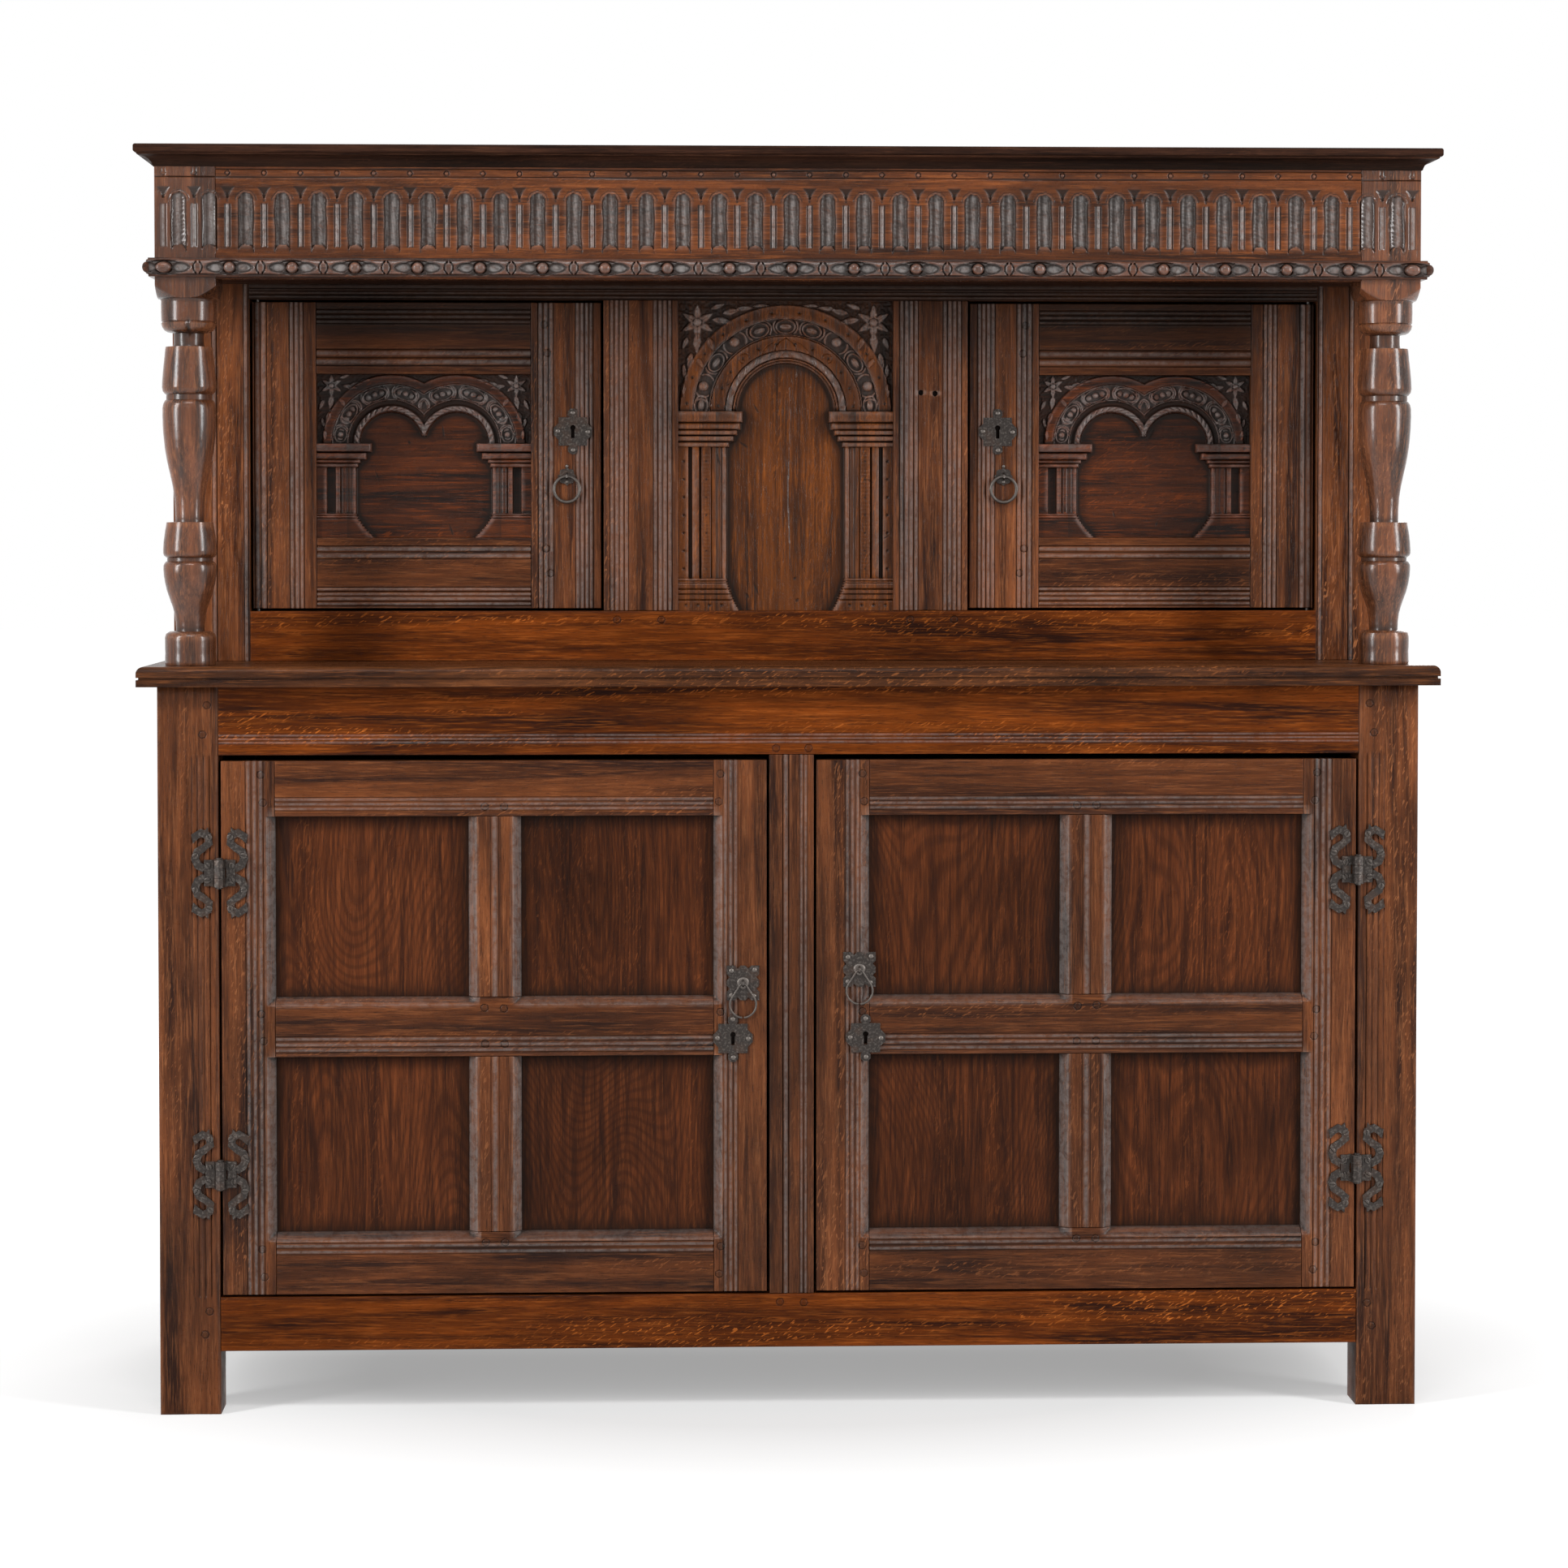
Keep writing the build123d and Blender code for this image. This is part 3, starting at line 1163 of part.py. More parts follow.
def lock_bolt(plane, right, z, door_thick):
    """The bolt, drawn back so that its nose is level with the end of the lock."""
    end = right - LOCK_INSET
    front = door_thick + (LOCK_DEEP - BOLT_THICK) / 2
    bolt = board(plane, end - BOLT_LONG, end, z - BOLT_HIGH / 2, z + BOLT_HIGH / 2, front, front + BOLT_THICK)
    with BuildPart() as piece:
        add(bolt)
        chamfer(piece.faces().sort_by(Axis.X)[-1].edges().filter_by(Axis.Z).sort_by(Axis.Y)[-1], 2)
    return piece


# Lower doors --------------------------------------------------------------------------
DROP_HALF = 17.0  # the bowl of the pear, to the middle of the wire
DROP_LONG = 44.0
DROP_HEAD = 5.0
DROP_TIP = 1.2
DROP_THIN = 0.9  # half the thickness of the flattened wire
HANG_DROP = STAPLE_BEND - STAPLE_WIRE - WIRE - HANG_GAP
RING_DROP = STAPLE_BEND - STAPLE_WIRE - RING_WIRE - HANG_GAP
HANDLE_PLATE = (42.0, 45.0)
PLATE_NOTCH = 4.0
STILE_FLAT = 30.0
STILE_REEDS = 24.0
LOCK_REEDS = 20.0
DOOR_MOULD = 18.0
DOOR_MOULD_GAP = 7.0  # the sill's bevel to the moulding below it
MID_MOULD = 22.0
MID_MOULD_TOP = 27.0
HEAD_MOULD_TOP = 25.0


def drop_handle(x, z):
    """A pear-shaped drop of flat forged wire, open at the foot where its two ends meet."""
    top = z - HANG_DROP
    head = (x, top - DROP_HEAD)
    bowl = (x, top - DROP_LONG + DROP_HALF)
    with BuildPart() as drop:
        with BuildSketch(CASE_FACE.offset(HANDLE_OUT - DROP_THIN)):
            with BuildSketch(mode=Mode.PRIVATE) as pear:
                with Locations(head):
                    Circle(DROP_HEAD + WIRE)
                with Locations(bowl):
                    Circle(DROP_HALF + WIRE)
                make_hull()
            with BuildSketch(mode=Mode.PRIVATE) as hollow:
                with Locations(head):
                    Circle(DROP_HEAD - WIRE)
                with Locations(bowl):
                    Circle(DROP_HALF - WIRE)
                make_hull()
            add(pear.sketch)
            add(hollow.sketch, mode=Mode.SUBTRACT)
            with Locations((x, top - DROP_LONG)):
                Rectangle(DROP_TIP, 4 * WIRE, mode=Mode.SUBTRACT)
        extrude(amount=2 * DROP_THIN)
    return drop


def handle_plate(x, z):
    """The notched plate behind a drop handle."""
    wide, high = HANDLE_PLATE
    with BuildPart() as plate:
        with BuildSketch(CASE_FACE):
            with Locations((x, z)):
                Rectangle(wide, high)
                with GridLocations(wide / 3, high, 2, 2):
                    RegularPolygon(PLATE_NOTCH, 4, mode=Mode.SUBTRACT)
                with GridLocations(wide, high / 3, 2, 2):
                    RegularPolygon(PLATE_NOTCH, 4, mode=Mode.SUBTRACT)
        extrude(amount=PLATE_THICK)
    return plate


def lower_door(handle_x, handle_z, lock_x, lock_z):
    """The pieces of a lower door, drawn as the left-hand one."""
    stile_in = DOOR_LEFT + DOOR_STILE
    lock_in = DOOR_RIGHT - DOOR_STILE
    middle = (stile_in + lock_in) / 2
    columns = ((stile_in, middle - DOOR_MUNTIN / 2), (middle + DOOR_MUNTIN / 2, lock_in))
    rows = ((LOW_PANEL_Z, MID_Z), (HIGH_PANEL_Z, HIGH_PANEL_TOP))
    rail_rows = ((DOOR_BOTTOM, LOW_PANEL_Z), (MID_Z, HIGH_PANEL_Z), (HIGH_PANEL_TOP, DOOR_TOP))
    bays = [(x0, x1, z0, z1) for z0, z1 in rows for x0, x1 in columns]
    bevels = [panel_bevel(CASE_FACE, *bay) for bay in bays]
    grooves = [panel_board(CASE_FACE, *bay, spare=GROOVE_SPARE) for bay in bays]
    mortises = rail_mortises(CASE_FACE, stile_in, lock_in, rail_rows)
    bars = [(middle - DOOR_MUNTIN / 2, middle + DOOR_MUNTIN / 2, z0, z1) for z0, z1 in rows]
    bar_mortises = [cut for bar in bars for cut in post_tenons(CASE_FACE, *bar, MORTISE_SPARE)]
    staple = staple_wire(CASE_FACE, handle_x, handle_z, HANDLE_OUT)
    key = keyhole(CASE_FACE, lock_x, lock_z, DOOR_THICK + LOCK_DEEP / 2)

    hanging = framed(
        board(CASE_FACE, DOOR_LEFT, stile_in, DOOR_BOTTOM, DOOR_TOP, 0, DOOR_THICK),
        minus=mortises
        + grooves
        + bevels
        + [upright_reeds(CASE_FACE, DOOR_LEFT + STILE_FLAT, DOOR_BOTTOM, DOOR_TOP, STILE_REEDS, 4)],
    )
    locking = framed(
        board(CASE_FACE, lock_in, DOOR_RIGHT, DOOR_BOTTOM, DOOR_TOP, 0, DOOR_THICK),
        minus=mortises
        + grooves
        + bevels
        + [
            upright_reeds(CASE_FACE, lock_in + BEVEL, DOOR_BOTTOM, DOOR_TOP, LOCK_REEDS, 3),
            key,
            staple.part,
        ],
    )
    mouldings = [
        rail_reeds(CASE_FACE, stile_in, lock_in, top, width, 3)
        for top, width in (
            (LOW_PANEL_Z - BEVEL - DOOR_MOULD_GAP, DOOR_MOULD),
            (MID_Z + MID_MOULD_TOP, MID_MOULD),
            (HIGH_PANEL_TOP + HEAD_MOULD_TOP, DOOR_MOULD),
        )
    ]
    rails = [
        framed(
            board(CASE_FACE, stile_in, lock_in, z0, z1, 0, DOOR_THICK),
            plus=rail_tenons(CASE_FACE, stile_in, lock_in, z0, z1),
            minus=bar_mortises + grooves + bevels + [mould],
        )
        for (z0, z1), mould in zip(rail_rows, mouldings)
    ]
    muntins = [
        framed(
            board(CASE_FACE, *bar, 0, DOOR_THICK), plus=post_tenons(CASE_FACE, *bar), minus=grooves + bevels
        )
        for bar in bars
    ]
    panels = [framed(panel_board(CASE_FACE, *bay)) for bay in bays]
    back_plate = handle_plate(handle_x, handle_z)
    plate = framed(back_plate.part, minus=[staple.part])
    return {
        "stiles": [hanging, locking],
        "rails": rails,
        "muntins": muntins,
        "panels": panels,
        "ironwork": [
            *door_leaves,
            escutcheon(CASE_FACE, lock_x, lock_z),
            plate,
            staple,
            lock_case(CASE_FACE, DOOR_RIGHT, lock_x, lock_z, DOOR_THICK),
        ],
        "bolt": [lock_bolt(CASE_FACE, DOOR_RIGHT, lock_z, DOOR_THICK)],
        "drop": [drop_handle(handle_x, handle_z)],
    }


LOWER_LOCK_Z = MID_Z + 22.0
LEFT_HANDLE = (DOOR_RIGHT - 31.0, HIGH_PANEL_Z + 17.0)
RIGHT_HANDLE = (DOOR_RIGHT - 56.0, HIGH_PANEL_Z + 34.0)
LEFT_KEY = DOOR_RIGHT - 44.0
RIGHT_KEY = DOOR_RIGHT - 64.0

for part_name, pieces in lower_door(*LEFT_HANDLE, LEFT_KEY, LOWER_LOCK_Z).items():
    save_group(pieces, f"lower_left_door_{part_name}")
for part_name, pieces in lower_door(*RIGHT_HANDLE, RIGHT_KEY, LOWER_LOCK_Z).items():
    save_group([mirrored(piece) for piece in pieces], f"lower_right_door_{part_name}")


# Upper doors --------------------------------------------------------------------------
UPPER_KEY = (UPPER_DOOR_RIGHT - 38.0, OPENING_Z + 240.0)
UPPER_RING = (UPPER_DOOR_RIGHT - 46.0, OPENING_Z + 180.0)
LEAF_PLATE = 7.0

# Runs of reeds on the upper doors, as (distance from the member's edge, width, reeds)
HANG_REEDS = ((2.0, 18.0, 3), (49.0, 20.0, 3))
LOCKING_REEDS = ((9.0, 22.0, 3), (59.0, 25.0, 4))
TOP_RAIL_REEDS = ((9.0, 20.0, 3), (UPPER_DOOR_TOP - 34.0, 23.0, 3))
LOW_RAIL_REEDS = ((11.0, 18.0, 3), (UPPER_DOOR_LOW - 29.0, 26.0, 4))


def ring_handle(x, z):
    """An iron ring, hung in its staple."""
    hang = UPPER_DOOR_PLANE.offset(RING_OUT)
    centre = hang.from_local_coords(Vector(x, z - RING_DROP - RING_BEND, 0))
    with BuildPart() as ring:
        with BuildSketch(Plane(origin=centre, x_dir=(1, 0, 0), z_dir=(0, 0, 1))):
            with Locations((RING_BEND, 0)):
                RegularPolygon(RING_WIRE, WIRE_SIDES)
        revolve(axis=Axis(centre, (0, -1, 0)))
    return ring


def leaf_plate(x, z):
    """The small pointed plate behind a ring's staple."""
    with BuildPart() as plate:
        with BuildSketch(UPPER_DOOR_PLANE):
            with Locations((x, z)):
                with PolarLocations(LEAF_PLATE, 4, 45):
                    RegularPolygon(LEAF_PLATE * 0.7, LOBE_SIDES)
                RegularPolygon(LEAF_PLATE * 1.8, 4)
        extrude(amount=PLATE_THICK)
    return plate


def upper_door():
    """The pieces of an upper door, drawn as the left-hand one."""
    stile_in = UPPER_DOOR_LEFT + UPPER_HANG_STILE
    lock_in = UPPER_DOOR_RIGHT - UPPER_LOCK_STILE
    low, high = UPPER_DOOR_Z + UPPER_DOOR_LOW, UPPER_DOOR_HEAD - UPPER_DOOR_TOP
    rows = ((UPPER_DOOR_Z, low), (high, UPPER_DOOR_HEAD))
    plane = UPPER_DOOR_PLANE
    edge = TONGUE + GROOVE_SPARE
    groove = board(plane, stile_in - edge, lock_in + edge, low - edge, high + edge, *PAIR_TONGUE)
    mortises = rail_mortises(plane, stile_in, lock_in, rows)
    staple = staple_wire(plane, *UPPER_RING, RING_OUT)
    key = keyhole(plane, *UPPER_KEY, UPPER_DOOR_THICK + LOCK_DEEP / 2)
    hanging = framed(
        board(plane, UPPER_DOOR_LEFT, stile_in, UPPER_DOOR_Z, UPPER_DOOR_HEAD, 0, UPPER_DOOR_THICK),
        minus=mortises
        + running_cuts
        + [
            groove,
            *[
                upright_reeds(plane, UPPER_DOOR_LEFT + x, UPPER_DOOR_Z, UPPER_DOOR_HEAD, width, count)
                for x, width, count in HANG_REEDS
            ],
        ],
    )
    locking = framed(
        board(plane, lock_in, UPPER_DOOR_RIGHT, UPPER_DOOR_Z, UPPER_DOOR_HEAD, 0, UPPER_DOOR_THICK),
        minus=mortises
        + [
            groove,
            key,
            staple.part,
            *[
                upright_reeds(plane, lock_in + x, UPPER_DOOR_Z, UPPER_DOOR_HEAD, width, count)
                for x, width, count in LOCKING_REEDS
            ],
        ],
    )
    top_moulds, low_moulds = [
        [rail_reeds(plane, stile_in, lock_in, top - z, width, count) for z, width, count in moulds]
        for top, moulds in ((UPPER_DOOR_HEAD, TOP_RAIL_REEDS), (low, LOW_RAIL_REEDS))
    ]
    rails = [
        framed(
            board(plane, stile_in, lock_in, z0, z1, 0, UPPER_DOOR_THICK),
            plus=rail_tenons(plane, stile_in, lock_in, z0, z1),
            minus=[groove] + moulds,
        )
        for (z0, z1), moulds in zip(rows, (low_moulds, top_moulds))
    ]
    middle = (stile_in + lock_in) / 2
    rope = PAIR_BAND - PAIR_JEWEL
    panel = arcade(
        plane,
        (stile_in, lock_in, low, high),
        front=PAIR_SET,
        thick=PAIR_THICK,
        tongue=PAIR_TONGUE,
        centres=(middle - PAIR_HALF, middle + PAIR_HALF),
        spring=low + PAIR_SPRING,
        rings=((PAIR_BAND, rope, JEWEL_DEEP), (rope, rope - PAIR_ROPE, PAIR_ROPE_DEEP)),
        opening=PAIR_OPENING,
        pier=(PAIR_PIER, PAIR_SPRING - PAIR_IMPOST),
        impost=(PAIR_NOSE, PAIR_SPRING),
        plinth=(PAIR_TOE, PAIR_PLINTH),
        grooves=[
            (start * PAIR_PIER, end * PAIR_PIER, deep) for start, end, deep in PAIR_GROOVES
        ],
    )
    plate = framed(leaf_plate(*UPPER_RING).part, minus=[staple.part])
    return {
        "stiles": [hanging, locking],
        "rails": rails,
        "arcade": [panel],
        "ironwork": [
            escutcheon(plane, *UPPER_KEY),
            plate,
            staple,
            lock_case(plane, UPPER_DOOR_RIGHT, *UPPER_KEY, UPPER_DOOR_THICK),
        ],
        "bolt": [lock_bolt(plane, UPPER_DOOR_RIGHT, UPPER_KEY[1], UPPER_DOOR_THICK)],
        "ring": [ring_handle(*UPPER_RING)],
    }


for part_name, pieces in upper_door().items():
    save_group(pieces, f"upper_left_door_{part_name}")
    save_group([mirrored(piece) for piece in pieces], f"upper_right_door_{part_name}")
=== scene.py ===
import math

import bpy
import numpy as np
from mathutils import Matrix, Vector


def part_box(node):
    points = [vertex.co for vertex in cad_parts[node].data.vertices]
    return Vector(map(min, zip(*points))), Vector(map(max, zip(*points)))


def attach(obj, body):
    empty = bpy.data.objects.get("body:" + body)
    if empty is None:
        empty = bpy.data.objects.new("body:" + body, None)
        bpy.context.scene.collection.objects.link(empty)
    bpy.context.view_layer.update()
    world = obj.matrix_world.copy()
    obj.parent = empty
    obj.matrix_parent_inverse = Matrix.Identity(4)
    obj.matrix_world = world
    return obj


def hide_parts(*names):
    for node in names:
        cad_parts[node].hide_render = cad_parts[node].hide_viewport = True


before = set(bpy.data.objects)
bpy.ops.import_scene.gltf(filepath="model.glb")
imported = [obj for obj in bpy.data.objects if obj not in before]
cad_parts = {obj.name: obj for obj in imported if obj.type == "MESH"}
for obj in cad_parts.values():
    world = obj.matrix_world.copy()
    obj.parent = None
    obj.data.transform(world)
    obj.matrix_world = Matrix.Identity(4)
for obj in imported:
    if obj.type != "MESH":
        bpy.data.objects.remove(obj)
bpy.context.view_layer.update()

MM = 0.001

# Camera: almost level, a little left of the middle, turned to the cupboard
FOCAL_PX = 4775.0
PHOTO_PX = 1932.0
SENSOR = 36.0
HORIZON_PX = 311.0  # the horizon's distance above the middle of the picture
PITCH = math.radians(1.87)
CAMERA_AT = Vector((-0.200, -5.258, 1.141))
AIM_X = 0.0

HANDS = (("left", 1), ("right", -1))  # each side, and -1 where it mirrors the left


def add_camera():
    """The photograph's viewpoint."""
    data = bpy.data.cameras.new("camera")
    data.sensor_width = SENSOR
    data.lens = FOCAL_PX * SENSOR / PHOTO_PX
    data.shift_y = -(HORIZON_PX - FOCAL_PX * math.tan(PITCH)) / PHOTO_PX
    camera = bpy.data.objects.new("camera", data)
    yaw = math.atan2(AIM_X - CAMERA_AT.x, -CAMERA_AT.y)
    camera.location = CAMERA_AT
    camera.rotation_euler = (math.pi / 2 - PITCH, 0, -yaw)
    bpy.context.scene.collection.objects.link(camera)
    bpy.context.scene.camera = camera


def add_light(name, place, aim, wide, high, watts):
    """A large soft lamp."""
    data = bpy.data.lights.new(name, "AREA")
    data.shape = "RECTANGLE"
    data.size = wide
    data.size_y = high
    data.energy = watts
    lamp = bpy.data.objects.new(name, data)
    lamp.location = place
    lamp.rotation_euler = (Vector(aim) - Vector(place)).to_track_quat("-Z", "Y").to_euler()
    bpy.context.scene.collection.objects.link(lamp)


class Nodes:
    """The nodes of a material or of the world, made in reading order."""

    def __init__(self, owner):
        owner.use_nodes = True
        self.tree = owner.node_tree
        self.tree.nodes.clear()

    def node(self, kind, inputs=None, **settings):
        """A node with its settings; an input, by name or number, is a number or what another node gives."""
        made = self.tree.nodes.new(kind)
        for key, value in settings.items():
            setattr(made, key, value)
        for socket, value in (inputs or {}).items():
            if hasattr(value, "is_output"):
                self.tree.links.new(value, made.inputs[socket])
            else:
                made.inputs[socket].default_value = value
        return made

    def maths(self, operation, a, b=0.0, clamp=False):
        return self.node("ShaderNodeMath", {0: a, 1: b}, operation=operation, use_clamp=clamp).outputs[0]

    def ramp(self, value, low, high, start=0.0, end=1.0):
        """A clamped straight ramp from start at low to end at high."""
        return self.node("ShaderNodeMapRange", dict(enumerate((value, low, high, start, end)))).outputs[0]

    def mix(self, factor, a, b):
        inputs = {"Factor": factor, "A": a, "B": b}
        return self.node("ShaderNodeMix", inputs, data_type="RGBA").outputs["Result"]

    def attribute(self, name):
        return self.node("ShaderNodeAttribute", attribute_name=name).outputs["Fac"]

    def noise(self, vector, scale, detail, rough=0.5, distortion=0.0):
        inputs = {"Vector": vector, "Scale": scale, "Detail": detail, "Roughness": rough}
        inputs["Distortion"] = distortion
        return self.node("ShaderNodeTexNoise", inputs).outputs["Fac"]

    def mapped(self, vector, scale=(1, 1, 1), turn=(0, 0, 0)):
        return self.node("ShaderNodeMapping", {"Vector": vector, "Scale": scale, "Rotation": turn}).outputs[0]

    def place(self):
        return self.node("ShaderNodeTexCoord").outputs["Object"]

    def bump(self, strength, distance, height):
        inputs = {"Strength": strength, "Distance": distance, "Height": height}
        return self.node("ShaderNodeBump", inputs).outputs[0]

    def backdrop_rays(self):
        """1 for rays that see the backdrop, from the camera, in gloss or through glass, and 0 for light."""
        rays = self.node("ShaderNodeLightPath").outputs
        seen = self.maths("MAXIMUM", rays["Is Camera Ray"], rays["Is Glossy Ray"])
        return self.maths("MAXIMUM", seen, rays["Is Transmission Ray"])

    def surface(self, shader):
        self.node("ShaderNodeOutputMaterial", {"Surface": shader.outputs[0]})


def srgb(red, green, blue):
    """An 8-bit screen colour as the linear numbers that the shader takes."""
    return tuple(((c / 255 + 0.055) / 1.055) ** 2.4 for c in (red, green, blue))


def tint(colour, lighter=1.0):
    """A linear colour with its alpha, made lighter or darker."""
    return (*[c * lighter for c in colour], 1)


# How far the grain is drawn out along each axis, and how its flecks are turned and drawn out
GRAINS = {"X": (0.05, 1.0, 1.0), "Y": (1.0, 0.05, 1.0), "Z": (1.0, 1.0, 0.05)}
FLECKS = {
    "X": ((0.0, math.radians(28), 0.0), (0.22, 1.0, 1.0)),
    "Y": ((math.radians(28), 0.0, 0.0), (1.0, 0.22, 1.0)),
    "Z": ((0.0, math.radians(-17), 0.0), (1.0, 1.0, 0.22)),
}
BOARD_SHIFT = (3.7, 5.3, 2.9)  # metres in the noise from a board to one whose tone is 1 more
# the grey of the painted sheen: a reflection of the lamps painted into the wood's colour
PAINTED_SHEEN_GREY = (0.27, 0.25, 0.24)
# near-black for grime and painted shade in hollows, cuts and shaded places
GRIME_AND_SHADE = (0.0075, 0.0046, 0.0032)
FIGURED = 1.0  # a swirl above this shows the rings of a board sawn through and through


def oak(name, grain, plain, pale, deep, fleck, rough, sheen, wax=0.32, swirl=0.7):
    """Old waxed oak. grain is the axis that a board runs along; plain, pale and deep are screen colours."""
    base, light, dark = srgb(*plain), srgb(*pale), srgb(*deep)
    material = bpy.data.materials.new(name)
    s = Nodes(material)
    tone, shade_and_grime, wear, painted_sheen = (s.attribute(look) for look in ("tone", "shade_and_grime", "wear", "painted_sheen"))
    shift = {i: s.maths("MULTIPLY", tone, reach) for i, reach in enumerate(BOARD_SHIFT)}
    shift = s.node("ShaderNodeCombineXYZ", shift).outputs[0]
    place = s.node("ShaderNodeVectorMath", {0: s.place(), 1: shift}, operation="ADD").outputs[0]

    along = s.mapped(place, GRAINS[grain])
    bands = s.noise(along, 42.0, 5.0, 0.62, swirl)
    streaks = s.noise(along, 165.0, 4.0, 0.7, swirl * 0.6)
    fine = s.noise(along, 380.0, 3.0, 0.65)
    pores = s.noise(along, 1150.0, 2.0, 0.6)
    patches = s.noise(place, 4.2, 4.0, 0.6)
    turn, squash = FLECKS[grain]
    rays = s.noise(s.mapped(s.mapped(place, turn=turn), squash), 430.0, 1.0, 0.5, 0.4)
    where = s.ramp(s.noise(along, 30.0, 2.0), 0.49, 0.62)
    ray = s.maths("MULTIPLY", s.ramp(rays, 0.615, 0.66), where)

    colour = s.mix(s.ramp(bands, 0.36, 0.62), tint(dark), tint(base))
    colour = s.mix(s.maths("MULTIPLY", s.ramp(fine, 0.50, 0.70), 0.42), colour, tint(light))
    colour = s.mix(s.ramp(streaks, 0.50, 0.68, 0.0, 0.42), colour, tint(dark, 0.8))
    colour = s.mix(s.maths("MULTIPLY", ray, fleck), colour, tint(light, 1.25))
    colour = s.mix(s.ramp(pores, 0.57, 0.68, 0.0, 0.62), colour, tint(dark, 0.6))
    if swirl > FIGURED:
        slow = s.noise(s.mapped(place, (1.0, 1.0, 0.3)), 5.5, 1.0, 0.4)
        rings = s.maths("SINE", s.maths("MULTIPLY", slow, 380.0))
        colour = s.mix(s.ramp(rings, -0.2, 0.9, 0.0, 0.45), colour, tint(dark))
    uneven = s.ramp(patches, 0.28, 0.72, 0.55, 1.42)
    lift = s.maths("ADD", uneven, s.maths("MULTIPLY", tone, 0.20))
    shade = s.node("ShaderNodeVectorMath", {0: colour, "Scale": lift}, operation="SCALE").outputs[0]

    # rubbed edges, grime with painted shade in the cuts and hollows, and a painted sheen where the carving
    # would catch the lamps
    rubbed = s.maths("MULTIPLY", s.maths("POWER", wear, 1.4), s.ramp(fine, 0.38, 0.62, 0.15, 1.0))
    colour = s.mix(s.maths("MULTIPLY", rubbed, 0.42), shade, tint(light, 1.15))
    # grime and painted shade: the colour goes towards near-black and the surface grows rougher
    grime_and_shade = s.ramp(shade_and_grime, 0.05, 0.95)
    colour = s.mix(s.maths("MULTIPLY", grime_and_shade, 0.84), colour, tint(GRIME_AND_SHADE))
    # painted sheen in patches, which also makes the wood a little less rough
    sheen_patches = s.ramp(s.noise(place, 95.0, 4.0, 0.7, 0.8), 0.36, 0.60, 0.3, 1.0)
    painted_sheen_amount = s.maths("MULTIPLY", painted_sheen, sheen_patches, clamp=True)
    colour = s.mix(s.maths("MULTIPLY", painted_sheen_amount, 0.82), colour, tint(PAINTED_SHEEN_GREY))

    gloss = s.ramp(s.noise(place, 46.0, 3.0, 0.6), 0.3, 0.7, rough - 0.08, rough + 0.10)
    gloss = s.maths("ADD", gloss, s.maths("MULTIPLY", grime_and_shade, 0.25))
    gloss = s.maths("SUBTRACT", gloss, s.maths("MULTIPLY", painted_sheen_amount, 0.12), clamp=True)
    relief = s.maths("ADD", s.maths("MULTIPLY", fine, 0.5), s.maths("MULTIPLY", bands, 0.6))
    relief = s.maths("SUBTRACT", relief, s.ramp(pores, 0.56, 0.70, 0.0, 0.5))
    s.surface(s.node("ShaderNodeBsdfPrincipled", {
        "Base Color": colour, "Roughness": gloss, "Normal": s.bump(0.5, 0.0006, relief),
        "Specular IOR Level": 0.3 * wax, "Coat Weight": 0.22 * sheen, "Coat Roughness": 0.2,
    }))
    return material


RUST = (0.045, 0.026, 0.018)


def iron(name, base, bright):
    """Forged iron, dark with old wax and rubbed bright on its high places."""
    material = bpy.data.materials.new(name)
    s = Nodes(material)
    place = s.place()
    pits = s.noise(place, 900.0, 4.0, 0.65)
    hammer = s.noise(place, 190.0, 2.0, 0.5)
    rust = s.noise(place, 60.0, 3.0, 0.6)
    rub = s.ramp(s.noise(place, 320.0, 3.0, 0.6), 0.5, 0.7)
    rub = s.maths("MAXIMUM", s.maths("MULTIPLY", rub, 0.5), s.attribute("wear"))
    colour = s.mix(s.ramp(rust, 0.5, 0.7), tint(base), tint(RUST))
    colour = s.mix(rub, colour, tint(bright))
    height = s.maths("ADD", s.maths("MULTIPLY", pits, 0.5), hammer)
    s.surface(s.node("ShaderNodeBsdfPrincipled", {
        "Base Color": colour, "Roughness": s.ramp(pits, 0.3, 0.7, 0.3, 0.5),
        "Normal": s.bump(0.6, 0.0005, height), "Metallic": 0.6,
    }))
    return material


# Each oak: its grain, its plain, pale and deep colours, fleck, roughness, sheen, and wax and swirl
FRAME_OAK = {
    grain: oak(f"oak_frame_{grain}", grain, plain, pale, (40, 19, 10), 0.4, 0.30, 0.18)
    for grain, plain, pale in (
        ("X", (96, 52, 26), (142, 86, 50)),
        ("Y", (104, 58, 32), (148, 92, 56)),
        ("Z", (108, 61, 34), (152, 96, 60)),
    )
}
WARM_OAK = {
    grain: oak(f"oak_warm_{grain}", grain, (112, 53, 14), (168, 92, 36), (40, 16, 6), 0.7, 0.36, 0.05, 0.2)
    for grain in "XZ"
}
PANEL_OAK = oak("oak_panel_Z", "Z", (86, 44, 22), (122, 68, 36), (44, 21, 11), 0.3, 0.33, 0.06, 0.22, 2.4)
